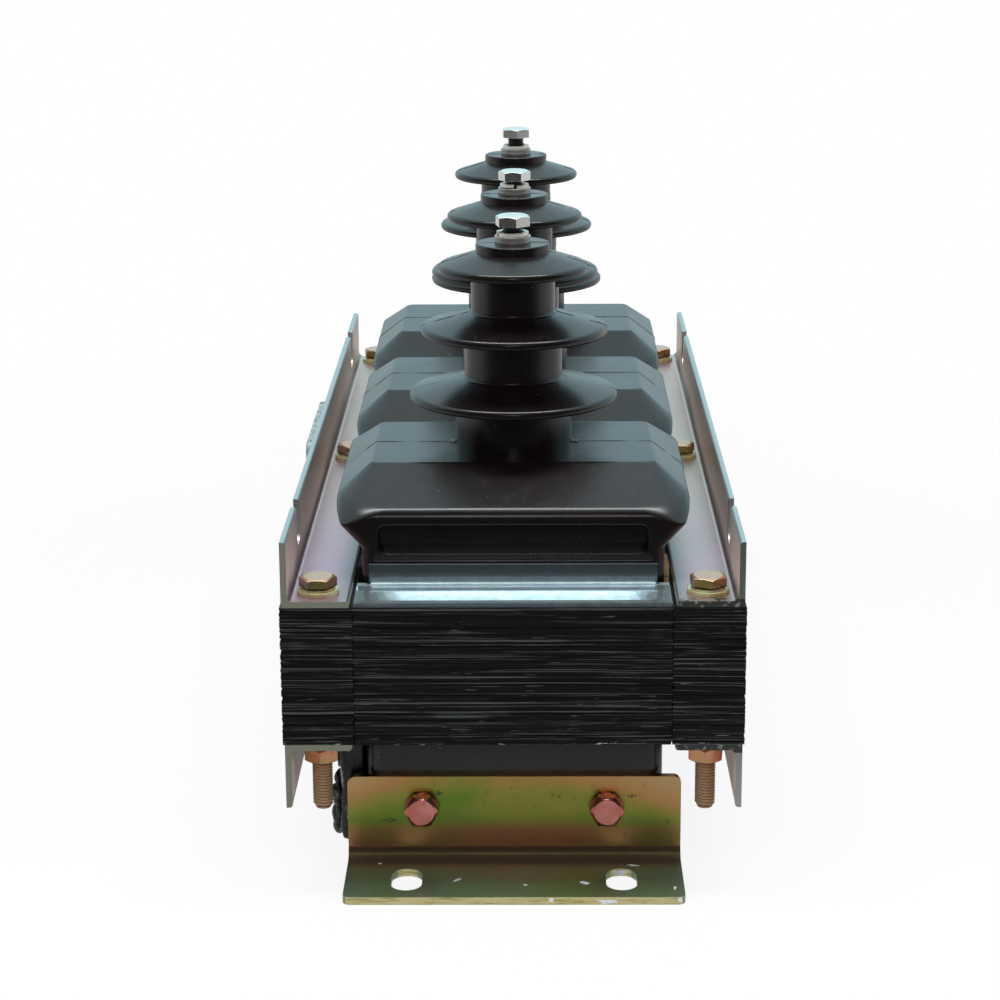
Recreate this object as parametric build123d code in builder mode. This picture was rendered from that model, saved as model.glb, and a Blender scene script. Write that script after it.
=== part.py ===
from build123d import *
import os

# Three-phase voltage transformer: three resin castings on a flat five-limb core of stacked sheet.
# X runs across the core, Y along the row of phases with the photographed end at -Y, Z is up.
# The origin is under the middle of the transformer, level with the undersides of the two feet.

# Castings, one a phase
casting_width = 146.0
casting_depth = 155.0
casting_corner = 6.0
casting_drop = 65.5
phase_gap = 2.0
phase_names = ("front", "middle", "rear")

# Head of a casting, above the core: neck, flare, rim, side band and sloping shoulders
neck_rise = 18.0
flare_rise = 12.0
flare_overhang = 10.5
flare_corner = 5.0
rim_rise = 6.5
rim_overhang = 15.0
rim_corner = 27.0
rim_bevel = 1.6
band_rise = 3.5
band_lean = 2.0
shoulder_rise = 12.0
plateau_width = 139.0
plateau_depth = 84.0
plateau_corner = 4.0

# Pocket under the rim on both end faces of a head
pocket_ledge_rise = 16.0
pocket_depth = 7.0
pocket_end_wall = 8.0
pocket_corner = 4.0

# Bushing: stems and sheds, from the lowest up
lower_stem_radius = 29.4
middle_stem_radius = 24.5
upper_stem_radius = 20.9
lower_shed_radius = 52.0
middle_shed_radius = 46.0
upper_shed_radius = 37.0
lower_shed_step = 27.0
middle_shed_step = 33.0
upper_shed_step = 31.0
shed_edge = 4.0
shed_slope_rise = 7.0
top_slope_rise = 6.0
shed_under_rise = 2.0
shed_edge_round = 1.5
stem_root_round = 1.8
boss_radius = 18.5
boss_height = 4.5

# High-voltage terminals
terminal_shank_radius = 5.0
terminal_shank_length = 28.0
terminal_washer_radius = 9.0
terminal_washer_thickness = 1.8
terminal_spring_radius = 7.9
terminal_spring_thickness = 2.2
terminal_head_flats = 15.5
terminal_head_height = 5.4
front_terminal_lift = 2.6
middle_terminal_lift = 1.8
rear_terminal_lift = 4.6

# Core of stacked sheet
core_stack = 68.5
end_limb_width = 34.0
wound_limb_width = 45.0
end_limb_gap = 1.5
tunnel_clearance = 0.25
yoke_bare_strip = 1.5

# Packing strips between castings and yokes
packing_thickness = 2.5
packing_width = 22.0
packing_height = 60.0
packing_rise = 7.0
packing_edge_distance = 8.0

# Clamp angles along the yokes
angle_thickness = 3.0
angle_root_radius = 3.0
angle_toe_radius = 1.5
angle_inset = 1.0
angle_edge_room = 5.5
angle_height = 32.0
angle_slot_width = 15.0
angle_slot_depth = 21.0
angle_slot_end_distance = 69.0

# Clamp bolts through angles and yokes
clamp_shank_radius = 5.0
clamp_hole_clearance = 0.5
clamp_end_distance = 15.5
clamp_washer_radius = 10.0
clamp_washer_thickness = 2.0
clamp_washer_room = 0.5
clamp_spring_radius = 8.2
clamp_spring_thickness = 1.4
clamp_head_flats = 16.0
clamp_head_height = 5.0
clamp_nut_height = 8.4
clamp_stud_free = 24.0

# Brackets on the bare end limbs
bracket_thickness = 2.0
bracket_lip_height = 11.5
bracket_lip_end_cut = 5.7
bracket_bend_radius = 2.0
bracket_relief_radius = 1.3
bracket_side_gap = 2.0
bracket_front_gap = 1.0

# Feet, bolted to the outer end faces of the end castings
foot_width = 164.0
foot_height = 46.0
foot_reach = 53.5
foot_thickness = 4.0
foot_bend_radius = 6.0
foot_corner = 4.0
foot_casting_clearance = 9.0
foot_slot_width = 15.0
foot_slot_length = 25.5
foot_slot_spacing = 104.0
foot_slot_edge_distance = 21.0
foot_bolt_spacing = 91.0
foot_bolt_height = 29.8
foot_bolt_shank_radius = 5.0
foot_bolt_shank_length = 24.0
foot_bolt_head_flats = 15.0
foot_bolt_head_height = 5.6
foot_washer_radius = 8.2
foot_washer_thickness = 1.6

# Secondary terminal blocks on the left faces of the castings
block_length = 104.0
block_height = 46.0
block_thickness = 10.0
block_chamfer = 4.0
block_rise = 8.0
block_post_count = 4
block_post_spacing = 24.0
block_screw_radius = 6.0
block_screw_height = 5.0
block_screw_shank_radius = 3.0
block_washer_height = 1.6
block_washer_radius = 7.5
block_slot_width = 1.4
block_slot_depth = 1.6

# Bare plate, a shallow tray of sheet on the outside of the left upper angle
plate_length = 103.0
plate_height = 26.0
plate_depth = 3.8
plate_sheet = 1.0
plate_corner = 3.0
plate_offset = -21.0

# Shares and fits common to several pieces
fit_clearance = 0.3
hex_chamfer_share = 0.18
spring_split_share = 0.35
spring_bore_share = 1.04

# Places that follow from the sizes above
phase_pitch = casting_depth + phase_gap
phase_places = (-phase_pitch, 0.0, phase_pitch)
casting_base = foot_casting_clearance
core_base = casting_base + casting_drop
core_top = core_base + core_stack
core_middle = (core_base + core_top) / 2
neck_top = core_top + neck_rise
flare_level = neck_top + flare_rise
rim_level = flare_level + rim_rise
band_level = rim_level + band_rise
plateau_level = band_level + shoulder_rise
band_share = band_rise / (band_rise + shoulder_rise)
rim_width = casting_width + 2 * rim_overhang
neck_section = (neck_top, casting_width, casting_depth, casting_corner)
flare_section = (flare_level, casting_width + 2 * flare_overhang, casting_depth, flare_corner)
rim_section = (rim_level, rim_width, casting_depth, rim_corner)
band_section = (
    band_level,
    rim_width - 2 * band_lean,
    casting_depth - band_share * (casting_depth - plateau_depth),
    rim_corner - band_share * (rim_corner - plateau_corner),
)
plateau_section = (plateau_level, plateau_width, plateau_depth, plateau_corner)
row_end = phase_pitch + casting_depth / 2
core_end = row_end + end_limb_gap + end_limb_width
core_length = 2 * core_end
angle_leg = (
    angle_thickness + angle_root_radius + clamp_washer_room + 2 * clamp_washer_radius + angle_edge_room
)
yoke_width = angle_inset + angle_leg + yoke_bare_strip
window_half = casting_width / 2 + packing_thickness
core_half = window_half + yoke_width
clamp_x = core_half - angle_inset - angle_thickness - angle_root_radius - clamp_washer_room - clamp_washer_radius
clamp_places = (-core_end + clamp_end_distance, 0.0, core_end - clamp_end_distance)
clamp_hole_radius = clamp_shank_radius + clamp_hole_clearance
top_shed_level = plateau_level + lower_shed_step + middle_shed_step + upper_shed_step
boss_top = top_shed_level + top_slope_rise + boss_height
sheds = (
    (lower_stem_radius, lower_shed_radius, lower_shed_step, shed_slope_rise, middle_stem_radius),
    (middle_stem_radius, middle_shed_radius, middle_shed_step, shed_slope_rise, upper_stem_radius),
    (upper_stem_radius, upper_shed_radius, upper_shed_step, top_slope_rise, boss_radius),
)
terminal_lifts = (front_terminal_lift, middle_terminal_lift, rear_terminal_lift)
foot_face = row_end
foot_toe = row_end + foot_reach


def write_piece(piece, name):
    """Label one finished piece and write it to its own file."""
    piece.label = name
    export_step(piece, f"parts/{name}.step")


def level(height):
    """Horizontal plane at a height above the feet."""
    return Plane.XY.offset(height)


def copies(piece, places):
    """One compound of a piece repeated at several places, as solids that do not touch."""
    return Compound(children=[piece.moved(Location(place)) for place in places])


def between(lower, upper, share):
    """Section of a head part way from one section to another."""
    return tuple(low + share * (high - low) for low, high in zip(lower, upper))


def make_bushing_profile():
    """Half section of stem, sheds and boss, drawn in X and Z from inside the head up."""
    points = [(0, rim_level), (lower_stem_radius, rim_level)]
    rims = []
    stems = []
    rim_top = plateau_level
    for stem, shed, step, slope, upper in sheds:
        rim_top += step
        under = rim_top - shed_edge
        points += [(stem, under + shed_under_rise), (shed, under)]
        points += [(shed, rim_top), (upper, rim_top + slope)]
        stems += [(stem, under + shed_under_rise)]
        rims += [(shed, under), (shed, rim_top)]
        if upper != boss_radius:
            stems += [(upper, rim_top + slope)]
    points += [(boss_radius, boss_top), (0, boss_top)]
    with BuildSketch(Plane.XZ) as profile:
        with BuildLine():
            Polyline(*points, close=True)
        make_face()
        fillet([profile.vertices().sort_by_distance(Vector(*rim))[0] for rim in rims], shed_edge_round)
        fillet([profile.vertices().sort_by_distance(Vector(*stem))[0] for stem in stems], stem_root_round)
    return profile


def make_casting(foot_sides):
    """Resin casting at the origin of its row: body, flared head and shedded bushing in one piece."""
    bushing_profile = make_bushing_profile()
    head_sections = (
        neck_section,
        flare_section,
        between(rim_section, flare_section, rim_bevel / rim_rise),
        between(rim_section, band_section, rim_bevel / band_rise),
        band_section,
        plateau_section,
    )
    with BuildPart() as casting:
        for height, width, depth, corner in head_sections:
            with BuildSketch(level(height)):
                RectangleRounded(width, depth, corner)
        loft(ruled=True)
        with BuildSketch(level(casting_base)):
            RectangleRounded(casting_width, casting_depth, casting_corner)
        extrude(amount=neck_top - casting_base)
        for side in (-1, 1):
            face_plane = Plane(origin=(0, side * casting_depth / 2, 0), x_dir=(1, 0, 0), z_dir=(0, -side, 0))
            up = face_plane.y_dir.Z
            with BuildSketch(face_plane):
                low = core_top + pocket_ledge_rise
                with Locations((0, up * (low + flare_level) / 2)):
                    RectangleRounded(casting_width - 2 * pocket_end_wall, flare_level - low, pocket_corner)
            extrude(amount=pocket_depth, mode=Mode.SUBTRACT)
        with BuildSketch(Plane.YZ):
            with Locations((0, core_middle)):
                Rectangle(wound_limb_width + 2 * tunnel_clearance, core_stack + 2 * tunnel_clearance)
        extrude(amount=casting_width, both=True, mode=Mode.SUBTRACT)
        add(bushing_profile.sketch)
        revolve(axis=Axis.Z)
        with Locations((0, 0, boss_top)):
            Hole(terminal_shank_radius + fit_clearance, depth=terminal_shank_length)
        for side in foot_sides:
            face_plane = Plane(origin=(0, side * casting_depth / 2, 0), x_dir=(1, 0, 0), z_dir=(0, -side, 0))
            up = face_plane.y_dir.Z
            with BuildSketch(face_plane):
                with Locations((0, up * foot_bolt_height)):
                    with GridLocations(foot_bolt_spacing, 0, 2, 1):
                        Circle(foot_bolt_shank_radius + fit_clearance)
            extrude(amount=foot_bolt_shank_length, mode=Mode.SUBTRACT)
    return casting.part


def make_hex_bolt(flats, head_height, shank_radius, shank_length):
    """Hexagon bolt standing on the underside of its head, shank down."""
    corner_radius = RegularPolygon(flats / 2, 6, major_radius=False, mode=Mode.PRIVATE).radius
    chamfer_size = head_height * hex_chamfer_share
    with BuildPart() as bolt:
        with BuildSketch():
            RegularPolygon(flats / 2, 6, major_radius=False)
        extrude(amount=head_height)
        with BuildSketch(Plane.XZ):
            with BuildLine():
                Polyline(
                    (0, 0),
                    (corner_radius, 0),
                    (corner_radius, head_height - chamfer_size),
                    (flats / 2 - chamfer_size, head_height),
                    (0, head_height),
                    close=True,
                )
            make_face()
        revolve(axis=Axis.Z, mode=Mode.INTERSECT)
        with BuildSketch():
            Circle(shank_radius)
        extrude(amount=-shank_length)
    return bolt.part


def make_nut(flats, height, bore_radius):
    """Hexagon nut standing on its lower face, both faces chamfered."""
    corner_radius = RegularPolygon(flats / 2, 6, major_radius=False, mode=Mode.PRIVATE).radius
    chamfer_size = height * hex_chamfer_share
    with BuildPart() as nut:
        with BuildSketch():
            RegularPolygon(flats / 2, 6, major_radius=False)
        extrude(amount=height)
        with BuildSketch(Plane.XZ):
            with BuildLine():
                Polyline(
                    (0, 0),
                    (flats / 2 - chamfer_size, 0),
                    (corner_radius, chamfer_size),
                    (corner_radius, height - chamfer_size),
                    (flats / 2 - chamfer_size, height),
                    (0, height),
                    close=True,
                )
            make_face()
        revolve(axis=Axis.Z, mode=Mode.INTERSECT)
        Hole(bore_radius)
    return nut.part


def make_washer(radius, bore_radius, thickness):
    """Flat washer standing on its lower face."""
    with BuildPart() as washer:
        with BuildSketch():
            Circle(radius)
            Circle(bore_radius, mode=Mode.SUBTRACT)
        extrude(amount=thickness)
    return washer.part


def make_spring_washer(radius, bore_radius, thickness):
    """Split ring, standing on its lower face with its split to the front."""
    with BuildPart() as ring:
        with BuildSketch():
            Circle(radius)
            Circle(bore_radius, mode=Mode.SUBTRACT)
            with Locations((0, -radius)):
                Rectangle((radius - bore_radius) * spring_split_share, radius, mode=Mode.SUBTRACT)
        extrude(amount=thickness)
    return ring.part


def make_yoke(side):
    """Yoke of stacked sheet along one side of the core, bored for the clamp bolts."""
    with BuildPart() as yoke:
        with BuildSketch(level(core_base)):
            with Locations((side * (window_half + yoke_width / 2), 0)):
                Rectangle(yoke_width, core_length)
        extrude(amount=core_stack)
        with Locations([(side * clamp_x, place, core_top) for place in clamp_places]):
            Hole(clamp_hole_radius)
    return yoke.part


def make_limb(width, place):
    """Limb of stacked sheet between the yokes."""
    with BuildPart() as limb:
        with BuildSketch(level(core_base)):
            with Locations((0, place)):
                Rectangle(2 * window_half, width)
        extrude(amount=core_stack)
    return limb.part


def make_clamp_angle(side, seat, up):
    """Rolled angle lying on a yoke, its upright leg outside; the upper ones have open slots."""
    corner = side * (core_half - angle_inset)
    root = (corner - side * angle_thickness, seat + up * angle_thickness)
    flat_toe = (corner - side * angle_leg, seat + up * angle_thickness)
    upright_toe = (corner - side * angle_thickness, seat + up * angle_height)
    with BuildPart() as angle:
        with BuildSketch(Plane.XZ.offset(-core_end)) as profile:
            with BuildLine():
                Polyline(
                    (corner, seat),
                    (corner - side * angle_leg, seat),
                    flat_toe,
                    root,
                    upright_toe,
                    (corner, seat + up * angle_height),
                    close=True,
                )
            make_face()
            fillet(profile.vertices().sort_by_distance(Vector(*root))[0], angle_root_radius)
            for toe in (flat_toe, upright_toe):
                fillet(profile.vertices().sort_by_distance(Vector(*toe))[0], angle_toe_radius)
        extrude(amount=core_length)
        with Locations([(side * clamp_x, place, seat) for place in clamp_places]):
            Hole(clamp_hole_radius)
        if up > 0:
            slot_place = core_end - angle_slot_end_distance
            with BuildSketch(Plane.YZ):
                with Locations((-slot_place, seat + angle_height), (slot_place, seat + angle_height)):
                    SlotOverall(2 * angle_slot_depth, angle_slot_width, rotation=90)
            extrude(amount=side * core_half, mode=Mode.SUBTRACT)
    return angle.part


def make_bracket(end):
    """Folded sheet on a bare end limb, with a low lip towards the casting."""
    inner = end * (core_end - end_limb_width)
    outer = end * (core_end - bracket_front_gap)
    half_width = core_half - angle_inset - angle_leg - bracket_side_gap
    lip_face = inner + end * bracket_thickness
    plate_face = core_top + bracket_thickness
    with BuildPart() as bracket:
        with BuildSketch(Plane.YZ.offset(-half_width)) as profile:
            with BuildLine():
                Polyline(
                    (inner, core_top),
                    (outer, core_top),
                    (outer, plate_face),
                    (lip_face, plate_face),
                    (lip_face, core_top + bracket_lip_height),
                    (inner, core_top + bracket_lip_height),
                    close=True,
                )
            make_face()
            bend_inside = profile.vertices().sort_by_distance(Vector(lip_face, plate_face))[0]
            fillet(bend_inside, bracket_bend_radius)
            bend_outside = profile.vertices().sort_by_distance(Vector(inner, core_top))[0]
            fillet(bend_outside, bracket_bend_radius + bracket_thickness)
        extrude(amount=2 * half_width)
        with BuildSketch(Plane.XZ.offset(-inner)):
            with GridLocations(2 * half_width, 0, 2, 1):
                with Locations((0, plate_face + bracket_lip_height)):
                    Rectangle(2 * bracket_lip_end_cut, 2 * bracket_lip_height)
        extrude(amount=bracket_thickness + bracket_bend_radius, both=True, mode=Mode.SUBTRACT)
        with BuildSketch(level(core_top)):
            with Locations((0, lip_face)):
                with GridLocations(2 * (half_width - bracket_lip_end_cut), 0, 2, 1):
                    Circle(bracket_relief_radius)
        extrude(amount=bracket_lip_height / 2, mode=Mode.SUBTRACT)
    return bracket.part


def make_foot(end):
    """Bent foot: upright leg against the end casting, flat leg outward with two slots."""
    inner = end * foot_face
    toe = end * foot_toe
    shin = end * (foot_face + foot_thickness)
    with BuildPart() as foot:
        with BuildSketch(Plane.YZ.offset(-foot_width / 2)) as profile:
            with BuildLine():
                Polyline(
                    (inner, 0),
                    (toe, 0),
                    (toe, foot_thickness),
                    (shin, foot_thickness),
                    (shin, foot_height),
                    (inner, foot_height),
                    close=True,
                )
            make_face()
            bend_outside = profile.vertices().sort_by_distance(Vector(inner, 0))[0]
            fillet(bend_outside, foot_bend_radius + foot_thickness)
            bend_inside = profile.vertices().sort_by_distance(Vector(shin, foot_thickness))[0]
            fillet(bend_inside, foot_bend_radius)
        extrude(amount=foot_width)
        upper_corners = foot.edges().filter_by(Axis.Y).group_by(Axis.Z)[-1]
        toe_corners = foot.edges().filter_by(Axis.Z).sort_by(lambda edge: -abs(edge.center().Y))[:2]
        fillet(upper_corners + toe_corners, foot_corner)
        with BuildSketch(level(0)):
            with Locations((0, end * (foot_toe - foot_slot_edge_distance))):
                with GridLocations(foot_slot_spacing, 0, 2, 1):
                    SlotOverall(foot_slot_length, foot_slot_width, rotation=90)
        extrude(amount=foot_thickness, mode=Mode.SUBTRACT)
        with BuildSketch(Plane.XZ.offset(-inner)):
            with Locations((0, foot_bolt_height)):
                with GridLocations(foot_bolt_spacing, 0, 2, 1):
                    Circle(foot_bolt_shank_radius + fit_clearance)
        extrude(amount=foot_thickness, both=True, mode=Mode.SUBTRACT)
    return foot.part


def make_packing(side):
    """Packing strips that wedge the castings between the yokes, two a casting on each side."""
    offset_y = casting_depth / 2 - packing_edge_distance - packing_width / 2
    with BuildPart() as packing:
        with BuildSketch(level(core_top + packing_rise)):
            with Locations([(side * (casting_width + packing_thickness) / 2, place) for place in phase_places]):
                with GridLocations(0, 2 * offset_y, 1, 2):
                    Rectangle(packing_thickness, packing_width)
        extrude(amount=-packing_height)
    return packing.part


def make_terminal_block():
    """Raised terminal block on the left face of a casting, with blind holes for its screws."""
    face = -casting_width / 2
    with BuildPart() as block:
        with BuildSketch(Plane.YZ.offset(face)):
            with Locations((0, casting_base + block_rise + block_height / 2)):
                Rectangle(block_length, block_height)
        extrude(amount=-block_thickness)
        outer_face = block.faces().sort_by(Axis.X)[0]
        chamfer(outer_face.edges(), block_chamfer)
        with BuildSketch(Plane.YZ.offset(face - block_thickness)):
            with Locations((0, casting_base + block_rise + block_height / 2)):
                with GridLocations(block_post_spacing, 0, block_post_count, 1):
                    Circle(block_screw_shank_radius + fit_clearance)
        extrude(amount=block_thickness - block_chamfer / 2, mode=Mode.SUBTRACT)
    return block.part


def make_block_screws():
    """Row of slotted terminal screws, each with its washer, on one terminal block."""
    face = -casting_width / 2 - block_thickness
    with BuildPart() as screws:
        with BuildSketch(Plane.YZ.offset(face)):
            with Locations((0, casting_base + block_rise + block_height / 2)):
                with GridLocations(block_post_spacing, 0, block_post_count, 1):
                    Circle(block_washer_radius)
        extrude(amount=-block_washer_height)
        with BuildSketch(Plane.YZ.offset(face - block_washer_height)):
            with Locations((0, casting_base + block_rise + block_height / 2)):
                with GridLocations(block_post_spacing, 0, block_post_count, 1):
                    Circle(block_screw_radius)
        extrude(amount=-block_screw_height)
        with BuildSketch(Plane.YZ.offset(face - block_washer_height - block_screw_height)):
            with Locations((0, casting_base + block_rise + block_height / 2)):
                with GridLocations(block_post_spacing, 0, block_post_count, 1):
                    Rectangle(2 * block_screw_radius, block_slot_width)
        extrude(amount=block_slot_depth, mode=Mode.SUBTRACT)
        with BuildSketch(Plane.YZ.offset(face)):
            with Locations((0, casting_base + block_rise + block_height / 2)):
                with GridLocations(block_post_spacing, 0, block_post_count, 1):
                    Circle(block_screw_shank_radius)
        extrude(amount=block_thickness - block_chamfer)
    return screws.part


def make_plate():
    """Shallow tray of sheet, open towards the angle that carries it."""
    face = -core_half + angle_inset
    middle = (plate_offset, core_top + angle_height / 2)
    with BuildPart() as plate:
        with BuildSketch(Plane.YZ.offset(face)):
            with Locations(middle):
                RectangleRounded(plate_length, plate_height, plate_corner)
        extrude(amount=-plate_depth)
        with BuildSketch(Plane.YZ.offset(face)):
            with Locations(middle):
                RectangleRounded(
                    plate_length - 2 * plate_sheet,
                    plate_height - 2 * plate_sheet,
                    plate_corner - plate_sheet,
                )
        extrude(amount=-(plate_depth - plate_sheet), mode=Mode.SUBTRACT)
    return plate.part


def write_core():
    """Two yokes, two bare end limbs and the three limbs inside the castings."""
    for side, name in ((-1, "left"), (1, "right")):
        write_piece(make_yoke(side), f"core_yoke_{name}")
    end_place = core_end - end_limb_width / 2
    for end, name in ((-1, "front"), (1, "rear")):
        write_piece(make_limb(end_limb_width, end * end_place), f"core_end_limb_{name}")
    for place, name in zip(phase_places, phase_names):
        write_piece(make_limb(wound_limb_width, place), f"core_wound_limb_{name}")


def write_castings():
    """The three castings; only the outer faces of the end ones take foot bolts."""
    for place, name, foot_sides in zip(phase_places, phase_names, ((-1,), (), (1,))):
        write_piece(make_casting(foot_sides).moved(Location((0, place, 0))), f"casting_{name}")


def write_terminals():
    """Bolt, two flat washers and a spring washer on the boss of each bushing, the bolts not screwed home."""
    bore = terminal_shank_radius + fit_clearance
    flat = make_washer(terminal_washer_radius, bore, terminal_washer_thickness)
    spring = make_spring_washer(terminal_spring_radius, bore * spring_bore_share, terminal_spring_thickness)
    bolt = make_hex_bolt(
        terminal_head_flats,
        terminal_head_height,
        terminal_shank_radius,
        terminal_shank_length,
    )
    second = boss_top + terminal_washer_thickness
    third = second + terminal_washer_thickness
    head = third + terminal_spring_thickness
    write_piece(copies(flat, [(0, y, boss_top) for y in phase_places]), "terminal_lower_washers")
    write_piece(copies(flat, [(0, y, second) for y in phase_places]), "terminal_upper_washers")
    write_piece(copies(spring, [(0, y, third) for y in phase_places]), "terminal_spring_washers")
    for place, name, lift in zip(phase_places, phase_names, terminal_lifts):
        write_piece(bolt.moved(Location((0, place, head + lift))), f"terminal_bolt_{name}")


def write_clamps():
    """Upper and lower angles with the bolts that squeeze the yokes between them."""
    for side, name in ((-1, "left"), (1, "right")):
        write_piece(make_clamp_angle(side, core_top, 1), f"upper_clamp_angle_{name}")
        write_piece(make_clamp_angle(side, core_base, -1), f"lower_clamp_angle_{name}")
    washer = make_washer(clamp_washer_radius, clamp_hole_radius, clamp_washer_thickness)
    spring = make_spring_washer(
        clamp_spring_radius,
        clamp_hole_radius,
        clamp_spring_thickness,
    )
    nut = make_nut(clamp_head_flats, clamp_nut_height, clamp_shank_radius + fit_clearance)
    flat_level = core_top + angle_thickness
    spring_level = flat_level + clamp_washer_thickness
    head_level = spring_level + clamp_spring_thickness
    under_washer = core_base - angle_thickness - clamp_washer_thickness
    nut_level = under_washer - clamp_nut_height
    shank_length = head_level - nut_level + clamp_stud_free
    bolt = make_hex_bolt(clamp_head_flats, clamp_head_height, clamp_shank_radius, shank_length)
    spots = [(side * clamp_x, place) for side in (-1, 1) for place in clamp_places]
    write_piece(copies(washer, [(x, y, flat_level) for x, y in spots]), "clamp_flat_washers")
    write_piece(copies(spring, [(x, y, spring_level) for x, y in spots]), "clamp_spring_washers")
    write_piece(copies(washer, [(x, y, under_washer) for x, y in spots]), "clamp_lower_washers")
    write_piece(copies(nut, [(x, y, nut_level) for x, y in spots]), "clamp_nuts")
    for side, name in ((-1, "left"), (1, "right")):
        places = [(side * clamp_x, place, head_level) for place in clamp_places]
        write_piece(copies(bolt, places), f"clamp_bolts_{name}")


def write_feet():
    """Feet with their bolts and washers, and the brackets on the end limbs above them."""
    washer = make_washer(foot_washer_radius, foot_bolt_shank_radius + fit_clearance, foot_washer_thickness)
    bolt = make_hex_bolt(
        foot_bolt_head_flats,
        foot_bolt_head_height,
        foot_bolt_shank_radius,
        foot_bolt_shank_length,
    )
    for end, name in ((-1, "front"), (1, "rear")):
        write_piece(make_bracket(end), f"limb_bracket_{name}")
        write_piece(make_foot(end), f"foot_{name}")
        seat = end * (foot_face + foot_thickness)
        head_seat = end * (foot_face + foot_thickness + foot_washer_thickness)
        turn = (-90 * end, 0, 0)
        spots = (-foot_bolt_spacing / 2, foot_bolt_spacing / 2)
        washers = [washer.moved(Location((x, seat, foot_bolt_height), turn)) for x in spots]
        bolts = [bolt.moved(Location((x, head_seat, foot_bolt_height), turn)) for x in spots]
        write_piece(Compound(children=washers), f"foot_washers_{name}")
        write_piece(Compound(children=bolts), f"foot_bolts_{name}")


def write_sides():
    """Packing strips, secondary terminals and the bare plate, all beside the castings."""
    write_piece(make_plate(), "bare_plate")
    for side, name in ((-1, "left"), (1, "right")):
        write_piece(make_packing(side), f"packing_strips_{name}")
    for place, name in zip(phase_places, phase_names):
        row = Location((0, place, 0))
        write_piece(make_terminal_block().moved(row), f"secondary_block_{name}")
        write_piece(make_block_screws().moved(row), f"secondary_screws_{name}")


os.makedirs("parts", exist_ok=True)
write_core()
write_castings()
write_terminals()
write_clamps()
write_feet()
write_sides()
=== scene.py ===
"""Dresses the three-phase voltage transformer and sets it on a plain studio floor.

Every place comes from the boxes of the CAD nodes; sizes are in metres, X across the core,
Y along the row of phases with the photographed end at -Y, Z up from the undersides of the feet.
"""

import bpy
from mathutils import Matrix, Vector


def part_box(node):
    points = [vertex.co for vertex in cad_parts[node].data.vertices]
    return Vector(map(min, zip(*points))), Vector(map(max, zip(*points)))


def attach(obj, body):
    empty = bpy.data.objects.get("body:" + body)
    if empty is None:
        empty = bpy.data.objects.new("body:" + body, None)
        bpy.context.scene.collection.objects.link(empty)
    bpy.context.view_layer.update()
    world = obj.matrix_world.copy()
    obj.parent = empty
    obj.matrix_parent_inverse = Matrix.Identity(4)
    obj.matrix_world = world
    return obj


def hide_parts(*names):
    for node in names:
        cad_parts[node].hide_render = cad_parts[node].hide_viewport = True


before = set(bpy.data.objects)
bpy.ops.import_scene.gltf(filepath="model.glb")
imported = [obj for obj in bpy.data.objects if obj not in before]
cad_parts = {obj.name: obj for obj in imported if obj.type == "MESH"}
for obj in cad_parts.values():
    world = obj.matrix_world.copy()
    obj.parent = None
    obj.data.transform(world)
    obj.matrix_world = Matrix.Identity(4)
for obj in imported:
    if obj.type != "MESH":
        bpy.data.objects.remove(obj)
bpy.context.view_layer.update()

import math
import random

import bmesh
import bpy
from bpy.props import FloatProperty, FloatVectorProperty, IntProperty, PointerProperty
from mathutils import Matrix, Vector, noise

bl_info = {
    "name": "Voltage transformer",
    "version": (1, 0, 0),
    "blender": (4, 5, 0),
    "location": "View3D > Sidebar > Transformer",
    "description": "Dresses a cast-resin voltage transformer over its CAD frame",
    "category": "Object",
}

PHASES = ("front", "middle", "rear")
ENDS = ("front", "rear")
SIDES = ("left", "right")
UP = Vector((0, 0, 1))
MERGE = 1e-6
NEAR = 10 * MERGE

# Smudges on the feet's upright legs: place across, level as a share of the height, reach
SMUDGES = ((-0.0613, 0.50, 0.0062), (-0.0372, 0.81, 0.0042), (0.0579, 0.78, 0.0060), (0.0757, 0.48, 0.0030))
SMUDGE_HEIGHT_SHARE = 0.035

# Flakes of paint on the front foot's flat leg: place across, distance from the toe, length, width, turn
LEG_FLAKES = (
    (-0.0276, 0.0202, 0.0058, 0.0020, 40.0),
    (0.0053, 0.0142, 0.0024, 0.0018, 0.0),
    (0.0342, 0.0165, 0.0050, 0.0034, -35.0),
    (0.0585, 0.0375, 0.0062, 0.0014, -8.0),
    (0.0773, 0.0106, 0.0018, 0.0044, 0.0),
    (-0.0660, 0.0400, 0.0018, 0.0014, 0.0),
)

# Flakes on its toe and in its right slot: place across, distance from the toe, level, length, height
UPRIGHT_FLAKES = (
    (0.0177, 0.0, 0.0026, 0.0030, 0.0028),
    (0.0448, 0.0, 0.0018, 0.0110, 0.0026),
    (0.0791, 0.0, 0.0024, 0.0026, 0.0030),
    (0.0520, 0.0330, 0.0022, 0.0094, 0.0034),
)

# Studio lights: name, place, point they look at, width, height, power, whether the gloss shows them
AIM = (0.0, 0.0, 0.15)
SOFTBOXES = (
    ("top_softbox", (0.0, -0.15, 1.9), AIM, 1.8, 0.34, 24.0, True),
    ("left_softbox", (-1.7, -1.0, 1.3), AIM, 1.0, 1.2, 14.0, False),
    ("right_softbox", (1.7, -1.0, 1.2), AIM, 1.0, 1.2, 12.0, False),
    ("front_softbox", (0.0, -2.2, 1.7), AIM, 1.0, 0.6, 8.0, False),
    ("camera_softbox", (-0.012, -2.3, 1.12), (0.0, -0.25, 0.145), 0.335, 0.26, 2.5, True),
)
ACROSS_WEIGHT = 0.01


def length(name, description, millimetres):
    """A length property, its default written in millimetres."""
    return FloatProperty(
        name=name, description=description, default=millimetres / 1000, min=0.0, precision=5, unit="LENGTH"
    )


def colour(name, description, value):
    """A colour property in linear light."""
    return FloatVectorProperty(
        name=name, description=description, default=value, size=3, min=0.0, max=1.0, subtype="COLOR"
    )


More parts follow.
